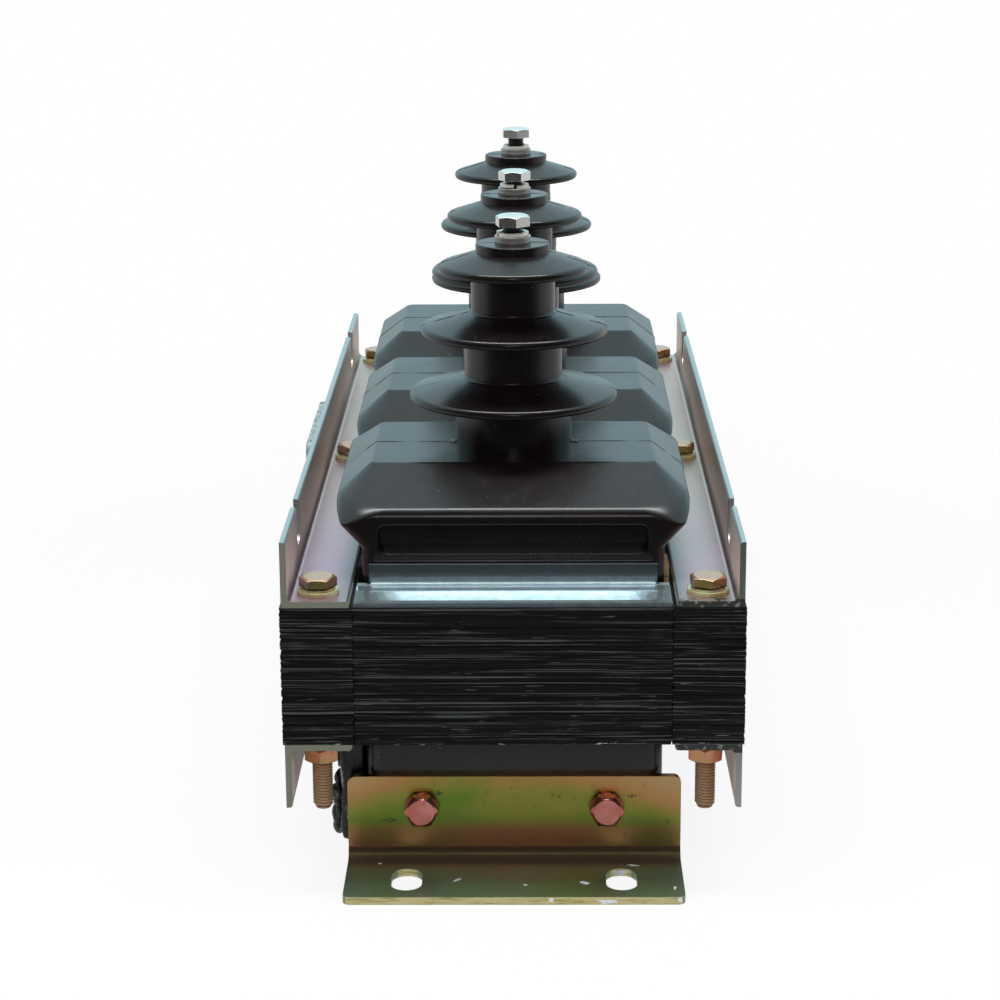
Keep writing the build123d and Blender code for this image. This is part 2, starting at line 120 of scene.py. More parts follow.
def share(name, description, value):
    """A number between nought and one."""
    return FloatProperty(
        name=name, description=description, default=value, min=0.0, max=1.0, subtype="FACTOR"
    )


def angle(name, description, degrees):
    """An angle property, its default written in degrees."""
    return FloatProperty(
        name=name, description=description, default=math.radians(degrees), subtype="ANGLE", unit="ROTATION"
    )


class CastingSizes(bpy.types.PropertyGroup):
    """Levels and sections of a resin casting, above the top of the core."""

    body_corner: length("Body corner", "Plan radius of the body's corners", 6.0)
    body_width: length("Body width", "Width of the body across the core", 146.0)
    neck_rise: length("Neck rise", "Height of the straight neck", 18.0)
    flare_rise: length("Flare rise", "Height over which the sides flare out", 12.0)
    flare_overhang: length("Flare overhang", "How far the flare stands out on each side", 10.5)
    flare_corner: length("Flare corner", "Plan radius at the top of the flare", 5.0)
    rim_rise: length("Rim rise", "Height from the flare to the rim", 6.5)
    rim_corner: length("Rim corner", "Plan radius of the rim", 27.0)
    rim_round: length("Rim round", "Reach of the rim's rounded edge", 3.8)
    band_rise: length("Band rise", "Height of the steep side band above the rim", 3.5)
    band_lean: length("Band lean", "How far the side band leans in", 2.0)
    shoulder_rise: length("Shoulder rise", "Height of the sloping shoulders", 12.0)
    plateau_width: length("Plateau width", "Width of the flat top", 139.0)
    plateau_depth: length("Plateau depth", "Depth of the flat top", 84.0)
    plateau_corner: length("Plateau corner", "Plan radius of the flat top", 4.0)
    edge_round: length("Edge round", "Radius of the softer edges", 1.1)
    pocket_rise: length("Pocket rise", "Height of the ledge under the pocket", 16.0)
    pocket_depth: length("Pocket depth", "Depth of the pocket under the rim", 7.0)
    pocket_end_wall: length("Pocket end wall", "Wall left at each end of the pocket", 8.0)
    pocket_corner: length("Pocket corner", "Radius of the pocket's ends", 4.0)
    pocket_round: length("Pocket round", "Radius of the pocket's mouth", 0.9)
    seam_width: length("Seam width", "Width of the mould seam", 0.8)
    seam_height: length("Seam height", "Height of the mould seam", 0.22)
    seam_margin: length("Seam margin", "Flat strip kept beside the mould seam", 0.5)
    flash: length("Flash", "Size of the resin flash beside the stem", 1.8)


class BushingSizes(bpy.types.PropertyGroup):
    """Stems and sheds of a bushing, from the lowest up."""

    lower_stem: length("Lower stem", "Radius of the lowest stem", 29.4)
    middle_stem: length("Middle stem", "Radius of the middle stem", 24.5)
    upper_stem: length("Upper stem", "Radius of the upper stem", 20.9)
    lower_shed: length("Lower shed", "Radius of the lowest shed", 52.0)
    middle_shed: length("Middle shed", "Radius of the middle shed", 46.0)
    upper_shed: length("Upper shed", "Radius of the upper shed", 37.0)
    lower_step: length("Lower step", "Rise from the flat top to the lowest shed's rim", 27.0)
    middle_step: length("Middle step", "Rise from the lowest shed to the middle one", 33.0)
    upper_step: length("Upper step", "Rise from the middle shed to the upper one", 31.0)
    shed_edge: length("Shed edge", "Thickness of a shed at its rim", 4.0)
    shed_slope: length("Shed slope", "Rise of a shed's upper face", 7.0)
    top_slope: length("Top slope", "Rise of the highest shed's upper face", 6.0)
    shed_under: length("Shed under", "Rise of a shed's under face", 2.0)
    edge_round: length("Edge round", "Radius of a shed's rim", 1.6)
    root_round: length("Root round", "Radius where stem and shed meet", 1.5)
    boss: length("Boss", "Radius of the boss under the terminal", 18.5)
    boss_height: length("Boss height", "Height of the boss", 4.5)
    boss_round: length("Boss round", "Radius of the boss's edge", 0.8)
    turns: IntProperty(name="Turns", description="Steps round a bushing", default=128, min=24)


class CoreSizes(bpy.types.PropertyGroup):
    """The stacked sheets of the core."""

    sheet: length("Sheet", "Thickness of one sheet", 0.5)
    bare_share: share("Bare share", "Share of the sheets whose edges show bare", 0.46)
    ragged: length("Ragged", "How far a sheet's edge may stand back", 0.7)
    wave: length("Wave", "How far the sheets wander up and down", 0.35)
    wave_length: length("Wave length", "Run over which the sheets wander", 45.0)
    bare_ragged: share("Bare ragged", "Share of the unevenness that bare sheets have", 0.35)


class FastenerSizes(bpy.types.PropertyGroup):
    """Threads and split washers."""

    pitch: length("Pitch", "Pitch of the threads", 1.5)
    shank: length("Shank", "Radius of the shanks", 5.0)
    terminal_head: length("Terminal head", "Height of the terminal bolts' heads", 5.4)
    thread_depth: length("Thread depth", "Depth of the threads", 0.85)
    stud_chamfer: length("Stud chamfer", "Chamfer at the end of a stud", 1.2)
    edge: length("Edge", "Radius of the edges of heads, nuts and washers", 0.25)
    spring_rise: length("Spring rise", "How far a split washer's ends stand apart", 1.3)
    split: angle("Split", "Width of a split washer's gap", 14.0)
    terminal_bore: share("Terminal bore", "Bore of the terminals' split washers, of their width", 0.7)
    clamp_bore: share("Clamp bore", "Bore of the clamp bolts' split washers, of their width", 0.66)


class SheetSizes(bpy.types.PropertyGroup):
    """Edges of the sheet and rolled pieces."""

    angle_edge: length("Angle edge", "Radius of the clamp angles' edges", 0.4)
    angle_root: length("Angle root", "Radius inside the clamp angles' bend", 4.0)
    bracket_edge: length("Bracket edge", "Radius of the brackets' edges", 0.3)
    droop: angle("Droop", "How far the brackets' plates fall off along their edges", 3.6)
    lip_lean: angle("Lip lean", "How far the brackets' lips lean back", 4.0)
    droop_run: length("Droop run", "Width of the drooping edge of the brackets' plates", 4.5)
    near_run: length("Near run", "Width of the strip of plate that falls towards the lip", 12.5)
    foot_thick: length("Foot thickness", "Thickness of the feet", 4.0)
    foot_edge: length("Foot edge", "Radius of the feet's edges", 0.6)
    block_edge: length("Block edge", "Radius of the terminal blocks' edges", 0.5)
    plate_edge: length("Plate edge", "Radius of the bare plate's edges", 0.25)
    packing_edge: length("Packing edge", "Radius of the packing strips' edges", 0.3)
    chip: length("Chip", "Thickness of the flakes of paint on the front foot", 0.25)
    compound_proud: length("Compound proud", "How far the compound stands out past the front block", 3.0)
    compound_gap: length("Compound gap", "How far the compound stays back from the casting's front", 4.0)
    compound_inset: length("Compound inset", "Gap between the compound and the front block", 1.0)
    lump: length("Lump", "Size of the lumps of sealing compound", 5.0)


class FilmReaches(bpy.types.PropertyGroup):
    """How far tints, dirt, painted light and shade, and relief reach from the edges where they start."""

    # Painted shade: the dark line on the mould seam stands for the shade of its ridge.
    seam_shade_reach: length("Seam stain", "Half the width of the dark line on the mould seam", 0.3)
    fleck_full: length("Fleck full", "Height over the core's lower edge where flecks are thick", 0.6)
    fleck_end: length("Fleck end", "Height over the core's lower edge where flecks end", 1.3)
    # The teal along the toes and upper edges is a painted reflection.
    toe_full: length("Toe full", "Width of the full teal along the clamp angles' toes", 2.0)
    toe_end: length("Toe end", "Width at which the teal along the toes ends", 8.0)
    rim_full: length("Rim full", "Depth of the full teal on the clamp angles' upper edges", 0.4)
    rim_end: length("Rim end", "Depth at which the teal on the upper edges ends", 1.2)
    cut_dirt: length("Cut dirt", "Depth of the dirt on the clamp angles' cut ends", 0.4)
    cut_spread: length("Cut spread", "How far dirt spreads from the right cut ends", 5.5)
    spangle: length("Spangle", "Relief of the galvanised sheet", 0.006)
    bend_dull: length("Bend dull", "Reach of the dull bend of the brackets", 4.5)
    bend_end: length("Bend end", "Where the brackets' dull bend ends", 6.5)
    seat_dark: length("Seat dark", "Reach of the shade under the clamp bolts' heads", 0.3)
    seat_end: length("Seat end", "Where the shade under the heads ends", 0.9)
    # The flat legs' colour is partly their zinc, partly a painted reflection of the upright legs.
    sole_full: length("Sole full", "Height over the feet's flat legs that keeps their colour", 0.5)
    sole_end: length("Sole end", "Height over the flat legs where their colour ends", 4.0)
    bend_brown_reflection: length("Bend brown", "Reach of the brown beside the feet's bends", 4.0)
    brown_end: length("Brown end", "Where the brown beside the bends ends", 22.0)
    # The crease's darkening is painted shade in the feet's bends.
    crease: length("Crease", "Height of the dirty crease over the flat legs", 3.6)
    crease_shade_full: length("Crease dark", "Half the height of the darkest dirt in the crease", 0.8)
    crease_shade_end: length("Crease end", "Half the height at which the crease's dirt ends", 2.4)


class FinishColours(bpy.types.PropertyGroup):
    """Colours of the finishes."""

    resin: colour("Resin", "Dark brown resin", (0.0052, 0.0030, 0.0030))
    resin_light: colour("Light resin", "Resin where it is paler", (0.0080, 0.0047, 0.0047))
    dust: colour("Dust", "Dust and specks on the resin", (0.55, 0.55, 0.54))
    # Painted shade of the mould seam's ridge.
    seam: colour("Seam", "Resin along the mould seam", (0.014, 0.010, 0.009))
    flash: colour("Flash", "Pale crumbs of resin flash", (0.55, 0.58, 0.58))
    flash_dark: colour("Dark flash", "Darker crumbs of resin flash", (0.10, 0.10, 0.10))
    varnish: colour("Varnish", "Black varnish on the core", (0.0062, 0.0066, 0.0070))
    # Worn varnish colours sheet edges showing through, and also painted glints along the sheet edges.
    worn: colour("Worn varnish", "Edges of sheet that show through", (0.062, 0.067, 0.071))
    # Fleck also colours painted glints along the sheet edges.
    fleck: colour("Fleck", "Bare flecks along the lower edge of the core", (0.42, 0.43, 0.42))
    steel: colour("Steel", "Bright steel of the terminals", (0.93, 0.92, 0.88))
    steel_marks: colour("Steel marks", "Turning marks on the bright steel", (0.36, 0.36, 0.35))
    dull_steel: colour("Dull steel", "Flat washers of the terminals", (0.40, 0.39, 0.37))
    dull_marks: colour("Dull marks", "Turning marks on the flat washers", (0.16, 0.17, 0.18))
    spring: colour("Spring", "Spring washers of the terminals", (0.72, 0.71, 0.66))
    spring_marks: colour("Spring marks", "Marks on the spring washers", (0.20, 0.20, 0.19))
    # Painted light and shade on the terminals' thread flanks, both kept dark as a painted shadow under the
    # heads.
    steel_lit_flank: colour("Steel crest", "Upper flanks of the terminals' threads", (0.04, 0.04, 0.04))
    steel_shaded_flank: colour("Steel root", "Lower flanks of the terminals' threads", (0.006, 0.006, 0.006))
    zinc: colour("Zinc", "Zinc of the clamp angles", (0.72, 0.54, 0.59))
    zinc_green: colour("Green zinc", "Green tint of the passivated zinc", (0.58, 0.53, 0.49))
    zinc_lilac: colour("Lilac zinc", "Lilac tint of the passivated zinc", (0.70, 0.49, 0.59))
    zinc_far: colour("Far zinc", "Green of the zinc towards the middle phase", (0.66, 0.60, 0.52))
    zinc_tan: colour("Tan zinc", "Tan of the zinc towards the middle phase", (0.72, 0.57, 0.50))
    zinc_leg: colour("Zinc leg", "Pink brown of the upright legs", (0.85, 0.69, 0.61))
    zinc_root: colour("Zinc root", "Dark root of the upright legs", (0.42, 0.35, 0.31))
    # Painted shade in the fold.
    zinc_fold_shade: colour("Zinc fold", "Dark fold inside the clamp angles' bend", (0.13, 0.115, 0.11))
    zinc_smear: colour("Zinc smear", "Smears on the clamp angles", (0.30, 0.28, 0.26))
    slot_wall: colour("Slot wall", "Green of the walls of the angles' slots", (0.42, 0.52, 0.47))
    # Painted teal reflection along the toes and upper edges.
    teal_edge_reflection: colour("Zinc rim", "Teal tint along the upper edges", (0.50, 0.56, 0.56))
    sheet_dark: colour("Dark sheet", "Darker spangles of the galvanised sheet", (0.38, 0.49, 0.53))
    sheet_light: colour("Light sheet", "Lighter spangles of the galvanised sheet", (0.55, 0.67, 0.71))
    sheet_shade: colour("Sheet shade", "Shade on the brackets' lips", (0.10, 0.13, 0.14))
    gold: colour("Gold", "Yellow passivated zinc", (0.50, 0.34, 0.15))
    # Painted highlight on the clamp bolts' faces turned up.
    lit_top_gold: colour("Pale gold", "Top faces of the clamp bolts", (0.68, 0.43, 0.29))
    washer: colour("Washer green", "Greenish washers of the clamp bolts", (0.58, 0.60, 0.34))
    olive: colour("Olive", "Green of the yellow passivated zinc", (0.135, 0.265, 0.038))
    mustard: colour("Mustard", "Between green and orange", (0.31, 0.30, 0.065))
    salmon: colour("Salmon", "Orange of the yellow passivated zinc", (0.53, 0.29, 0.11))
    copper: colour("Copper", "Orange brown of the clamp nuts", (0.66, 0.32, 0.17))
    rose: colour("Rose", "Pink of the clamp nuts", (0.62, 0.20, 0.15))
    # Painted shade on the right-hand faces of the clamp bolts' heads.
    shaded_side_russet: colour("Russet", "Right-hand sides of the clamp bolts' heads", (0.36, 0.15, 0.09))
    seat: colour("Seat", "Shade under the clamp bolts' heads", (0.012, 0.010, 0.008))
    scuff: colour("Scuff", "Scuffs on bolts, washers and nuts", (0.10, 0.075, 0.045))
    # Painted light and shade on the studs' thread flanks.
    zinc_lit_flank: colour("Zinc crest", "Upper flanks of the studs' threads", (0.80, 0.66, 0.40))
    zinc_shaded_flank: colour("Zinc groove", "Lower flanks of the studs' threads", (0.34, 0.11, 0.06))
    foot_bolt: colour("Foot bolt", "Red brown of the feet's bolts", (0.54, 0.19, 0.11))
    foot_bolt_red: colour("Foot bolt red", "Red of the feet's bolts", (0.56, 0.17, 0.14))
    foot_bolt_pink: colour("Foot bolt pink", "Pink of the feet's bolts", (0.64, 0.26, 0.22))
    peach: colour("Peach", "Upper corners of the feet", (0.58, 0.38, 0.17))
    # Moss, bend brown and brown colour the flat legs: partly their zinc, partly a painted reflection of the
    # upright legs.
    moss: colour("Moss", "Green of the foot's flat leg", (0.17, 0.25, 0.11))
    bend_brown_reflection: colour("Bend brown", "Brown beside the foot's bend", (0.22, 0.15, 0.10))
    foot_scuff: colour("Foot scuff", "Scuffs on the feet", (0.09, 0.075, 0.05))
    # Painted shade in the crease of the foot's bend.
    bend_crease_shade: colour("Bend dirt", "Dirt in the foot's bend", (0.04, 0.022, 0.015))
    smudge: colour("Smudge", "Smudges on the foot's upright leg", (0.05, 0.05, 0.04))
    bend_red: colour("Bend red", "Red band above the foot's bend", (0.50, 0.16, 0.11))
    brown: colour("Brown", "Olive brown of the foot's flat leg", (0.19, 0.28, 0.19))
    toe: colour("Toe", "Golden tan of the foot's front edge", (0.68, 0.62, 0.32))
    chip: colour("Chip", "Flakes of pale paint", (0.72, 0.76, 0.78))
    chip_dull: colour("Dull chip", "Duller flakes of paint", (0.55, 0.58, 0.60))
    board: colour("Board", "Tan pressboard", (0.50, 0.36, 0.20))
    block: colour("Block", "Dark moulding of the terminal blocks", (0.016, 0.016, 0.017))
    block_worn: colour("Worn block", "Worn moulding of the terminal blocks", (0.05, 0.055, 0.06))
    screw: colour("Screw", "Steel of the terminal blocks' screws", (0.20, 0.20, 0.19))
    screw_dark: colour("Dark screw", "Darker steel of the screws", (0.06, 0.06, 0.06))
    plate: colour("Plate", "Pale grey of the bare plate", (0.46, 0.53, 0.55))
    plate_dark: colour("Dark plate", "Dark mottle of the bare plate", (0.13, 0.15, 0.16))
    grime: colour("Grime", "Dirt on cut ends", (0.006, 0.006, 0.006))
    cut_end: colour("Cut end", "Dirty olive of the left cut ends", (0.15, 0.155, 0.115))


class StageSettings(bpy.types.PropertyGroup):
    """Floor, lights and camera."""

    floor: colour("Floor", "Plain pale floor", (0.92, 0.92, 0.92))
    floor_dull: colour("Dull floor", "Mottle of the floor", (0.90, 0.90, 0.90))
    floor_size: length("Floor size", "Side of the floor", 40000.0)
    shadow_near: length("Shadow near", "Reach of the floor's shadows at full strength", 500.0)
    shadow_far: length("Shadow far", "Reach at which the floor's shadows end", 1300.0)
    front_near: length("Front near", "How far before the middle the bright floor begins to dim", 420.0)
    front_far: length("Front far", "How far before the middle the bright floor ends", 750.0)
    card_half: length("Card half", "Half the width of the dark card before the front foot", 95.0)
    card_edge: length("Card edge", "Half the width at which the dark card ends", 125.0)
    card_near: length("Card near", "How far before the middle the dark card begins", 370.0)
    card_far: length("Card far", "How far before the middle the dark card is full", 460.0)
    floor_lift: share("Floor lift", "How much of the floor shows as plain white", 0.88)
    ambient: share("Ambient", "Light from all round", 0.2)
    room: colour("Room", "What the gloss shows above the object", (0.74, 0.95, 1.0))
    low_room: colour("Low room", "What the gloss shows low behind the object", (0.62, 0.89, 0.97))
    dim_side: share("Dim side", "What the gloss shows on the camera's side", 0.035)
    near_floor: share("Near floor", "What the gloss shows of the floor close by", 0.62)
    lens: FloatProperty(name="Lens", description="Focal length in mm", default=93.6, min=1.0, unit="CAMERA")
    sensor: FloatProperty(name="Sensor", description="Width in mm", default=36.0, min=1.0, unit="CAMERA")
    clip: length("Clip", "Nearest distance that the camera sees", 10.0)
    camera_x: FloatProperty(name="Camera X", description="Camera place across", default=0.0088, unit="LENGTH")
    camera_y: FloatProperty(name="Camera Y", description="Camera place along", default=-1.4312, unit="LENGTH")
    camera_z: FloatProperty(name="Camera Z", description="Camera height", default=0.518, unit="LENGTH")
    pitch: angle("Pitch", "How far the camera looks down", 15.52)
    yaw: angle("Yaw", "How far the camera looks to the left", 0.714)
    roll: angle("Roll", "How far the camera leans", -0.35)


class TransformerSettings(bpy.types.PropertyGroup):
    """Everything a user would change."""

    casting: PointerProperty(type=CastingSizes)
    bushing: PointerProperty(type=BushingSizes)
    core: PointerProperty(type=CoreSizes)
    fastener: PointerProperty(type=FastenerSizes)
    sheet: PointerProperty(type=SheetSizes)
    reaches: PointerProperty(type=FilmReaches)
    colours: PointerProperty(type=FinishColours)
    stage: PointerProperty(type=StageSettings)


class Value:
    """One output of a shader tree; sums on it add Math nodes."""

    def __init__(self, shader, socket):
        self.shader = shader
        self.socket = socket

    def math(self, operation, first, second=0.0):
        return self.shader.node("ShaderNodeMath", {"operation": operation}, {0: first, 1: second})

    def __add__(self, other):
        return self.math("ADD", self, other)

    def __radd__(self, other):
        return self.math("ADD", other, self)

    def __sub__(self, other):
        return self.math("SUBTRACT", self, other)

    def __rsub__(self, other):
        return self.math("SUBTRACT", other, self)

    def __mul__(self, other):
        return self.math("MULTIPLY", self, other)

    def __rmul__(self, other):
        return self.math("MULTIPLY", other, self)

    def __truediv__(self, other):
        return self.math("DIVIDE", self, other)

    def __mod__(self, other):
        return self.math("FLOORED_MODULO", self, other)

    def __abs__(self):
        return self.math("ABSOLUTE", self)

    def __lt__(self, other):
        return self.math("LESS_THAN", self, other)

    def __gt__(self, other):
        return self.math("GREATER_THAN", self, other)


def rgba(value):
    """A colour with full alpha."""
    return (*value, 1.0)


class Shader:
    """A node tree that is built by calls."""

    def __init__(self, tree):
        self.tree = tree

    def node(self, kind, settings=None, inputs=None, output=0):
        """Make one node: its settings first, then the values or links of its sockets."""
        made = self.tree.nodes.new(kind)
        for key, value in (settings or {}).items():
            if key == "stops":
                self.set_stops(made.color_ramp, value)
            else:
                setattr(made, key, value)
        for key, value in (inputs or {}).items():
            self.feed(made.inputs[key], value)
        return Value(self, made.outputs[output])

    def set_stops(self, ramp, stops):
        """Put the stops of a colour ramp in place."""
        while len(ramp.elements) < len(stops):
            ramp.elements.new(1.0)
        for element, (position, value) in zip(ramp.elements, stops):
            element.position = position
            element.color = rgba(value)

    def feed(self, socket, value):
        """Link a value to a socket, or set it there."""
        if isinstance(value, Value):
            self.tree.links.new(value.socket, socket)
        else:
            socket.default_value = value

    def mix(self, first, second, factor, blend="MIX"):
        """Colours mixed by a factor."""
        pair = [rgba(side) if not isinstance(side, Value) else side for side in (first, second)]
        settings = {"data_type": "RGBA", "blend_type": blend, "clamp_factor": True}
        return self.node("ShaderNodeMix", settings, {0: factor, 6: pair[0], 7: pair[1]}, 2)

    def rise(self, value, low, high):
        """A smooth step from nought at low to one at high."""
        settings = {"interpolation_type": "SMOOTHSTEP"}
        return self.node("ShaderNodeMapRange", settings, {0: value, 1: low, 2: high, 3: 0.0, 4: 1.0})

    def ramp(self, value, stops):
        """Colour read from stops."""
        return self.node("ShaderNodeValToRGB", {"stops": stops}, {0: value})


class Finish(Shader):
    """A procedural material on the object's own coordinates."""

    def __init__(self, name, **constants):
        self.material = bpy.data.materials.new(name)
        self.material.use_nodes = True
        super().__init__(self.material.node_tree)
        self.surface = self.tree.nodes["Principled BSDF"]
        for socket, value in constants.items():
            self.surface.inputs[socket.replace("_", " ")].default_value = value
        self.place = self.node("ShaderNodeTexCoord", output="Object")
        self.x, self.y, self.z = [
            self.node("ShaderNodeSeparateXYZ", inputs={0: self.place}, output=axis) for axis in range(3)
        ]

    def spot(self, stretch=(1.0, 1.0, 1.0), shift=(0.0, 0.0, 0.0)):
        """Coordinates stretched and shifted."""
        inputs = {"Vector": self.place, "Location": shift, "Scale": stretch}
        return self.node("ShaderNodeMapping", inputs=inputs)

    def grain(self, scale, detail=3.0, roughness=0.55, stretch=(1.0, 1.0, 1.0), shift=(0.0, 0.0, 0.0)):
        """Soft noise between nought and one."""
        place = self.spot(stretch, shift)
        inputs = {"Vector": place, "Scale": scale, "Detail": detail, "Roughness": roughness}
        return self.node("ShaderNodeTexNoise", inputs=inputs)

    def cells(self, scale, output="Distance", stretch=(1.0, 1.0, 1.0), shift=(0.0, 0.0, 0.0)):
        """Distance from scattered points, or a colour for each of them."""
        inputs = {"Vector": self.spot(stretch, shift), "Scale": scale}
        return self.node("ShaderNodeTexVoronoi", inputs=inputs, output=output)

    def specks(self, scale, size, kept, stretch=(1.0, 1.0, 1.0)):
        """Small scattered spots: a share of the points of a cell pattern is kept."""
        chance = self.node("ShaderNodeSeparateXYZ", inputs={0: self.cells(scale, "Color", stretch)})
        return (self.cells(scale, "Distance", stretch) < size) * (chance < kept)

    def facing(self, axis):
        """How far the surface faces along an axis."""
        normal = self.node("ShaderNodeNewGeometry", output="Normal")
        return self.node("ShaderNodeSeparateXYZ", inputs={0: normal}, output=axis)

    def bump(self, height, strength, distance):
        """Relief from a height."""
        inputs = {"Height": height, "Strength": strength, "Distance": distance}
        relief = self.node("ShaderNodeBump", inputs=inputs, output="Normal")
        self.feed(self.surface.inputs["Normal"], relief)

    def paint_shade(self, value, factor):
        """Cover the surface by a dull colour where the factor says."""
        dull = self.node("ShaderNodeBsdfDiffuse", inputs={"Color": rgba(value), "Roughness": 1.0})
        body = Value(self, self.surface.outputs[0])
        mixed = self.node("ShaderNodeMixShader", inputs={0: factor, 1: body, 2: dull})
        self.feed(self.tree.nodes["Material Output"].inputs["Surface"], mixed)
        return self

    def dress(self, **inputs):
        """Feed what varies to the shader's sockets."""
        for socket, value in inputs.items():
            self.feed(self.surface.inputs[socket.replace("_", " ")], value)
        return self


def make_resin(colours, reaches, pitch, head_level):
    """Satin cast resin with dust specks, painted darker along the mould seam of each head as the shade of the
    seam's ridge.
    """
    finish = Finish("cast_resin", Specular_IOR_Level=0.58, IOR=1.5)
    cloud = finish.grain(16.0, 4.0)
    base = finish.mix(colours.resin, colours.resin_light, finish.rise(cloud, 0.35, 0.7))
    film = finish.rise(finish.grain(60.0, 6.0, 0.7), 0.5, 0.8) * finish.rise(finish.facing(2), 0.3, 0.95)
    base = finish.mix(base, colours.dust, film * 0.006)
    specks = finish.specks(150.0, 0.055, 0.05) + finish.specks(330.0, 0.07, 0.05)
    base = finish.mix(base, colours.dust, specks * 0.5)
    rough = 0.20 + 0.12 * finish.grain(22.0, 5.0, 0.6) + 0.05 * film
    finish.bump(finish.grain(38.0, 2.0) + 0.05 * finish.grain(900.0, 2.0), 0.14, 0.0009)
    finish.dress(Base_Color=base, Roughness=rough)
    # The dark line along the mould seam is painted shade of the seam's ridge.
    across = abs((finish.y + pitch / 2) % pitch - pitch / 2)
    broken = finish.rise(finish.grain(60.0, 3.0, stretch=(1.0, 0.0, 1.0)), 0.44, 0.52)
    seam = (across < reaches.seam_shade_reach) * (finish.z > head_level) * broken
    return finish.paint_shade(colours.seam, seam * 0.75)


def low_flecks(finish, reaches, low):
    """Where the varnish has chipped along the lower edge of the core."""
    dashes = finish.grain(1.0, 4.0, 0.7, stretch=(130.0, 130.0, 900.0))
    above = finish.rise(finish.z, low + reaches.fleck_full, low + reaches.fleck_end)
    return finish.rise(dashes, 0.60, 0.66) * (1.0 - above)


def make_core_varnish(colours, reaches, low):
    """Black varnish over the edges of stacked sheet, with pale streaks that are partly sheet showing through
    and partly painted glints.
    """
    finish = Finish("core_varnish", Specular_IOR_Level=0.12)
    lines = finish.grain(1.0, 3.0, 0.6, stretch=(14.0, 14.0, 1100.0))
    # Pale streaks: partly sheet edges showing through the varnish, partly painted glints where the sheet
    # edges catch the light.
    patches = finish.rise(finish.grain(30.0, 3.0), 0.46, 0.62)
    streaks = finish.rise(lines, 0.585, 0.635) * (0.25 + 0.75 * patches)
    base = finish.mix(colours.varnish, colours.worn, streaks)
    # Fine pale dashes are painted glints along the sheet edges.
    dashes = finish.rise(finish.grain(1.0, 2.0, 0.5, stretch=(55.0, 55.0, 1500.0)), 0.70, 0.73)
    base = finish.mix(base, colours.fleck, 0.22 * dashes)
    base = finish.mix(base, colours.fleck, low_flecks(finish, reaches, low))
    rough = 0.42 + 0.3 * finish.grain(70.0, 4.0, stretch=(1.0, 1.0, 6.0))
    finish.bump(lines + 0.4 * finish.grain(140.0, 3.0), 0.3, 0.0004)
    return finish.dress(Base_Color=base, Roughness=rough)


def make_sheet_edge(colours, reaches, low):
    """Edges of sheet that the varnish has left half bare, with painted glints along them."""
    finish = Finish("bare_sheet_edge", Specular_IOR_Level=0.2)
    dashes = finish.grain(1.0, 4.0, 0.65, stretch=(13.0, 13.0, 900.0))
    bare = finish.rise(dashes, 0.47, 0.58)
    base = finish.mix(colours.varnish, colours.worn, bare)
    # Fine pale dashes are painted glints along the sheet edges.
    bright = finish.rise(finish.grain(1.0, 5.0, 0.75, stretch=(40.0, 40.0, 1500.0)), 0.64, 0.68)
    base = finish.mix(base, colours.fleck, 0.36 * bright)
    base = finish.mix(base, colours.fleck, low_flecks(finish, reaches, low))
    finish.bump(dashes, 0.3, 0.0003)
    return finish.dress(Base_Color=base, Roughness=0.55 - 0.15 * bare)


def make_steel(name, bright, dark, rough, metal=1.0):
    """Steel with turning marks."""
    finish = Finish(name, Metallic=metal)
    marks = finish.grain(1.0, 4.0, 0.65, stretch=(160.0, 160.0, 1400.0))
    base = finish.mix(bright, dark, finish.rise(marks, 0.55, 0.8) * 0.6)
    finish.bump(marks, 0.12, 0.0002)
    return finish.dress(Base_Color=base, Roughness=rough + 0.12 * finish.grain(300.0, 3.0))


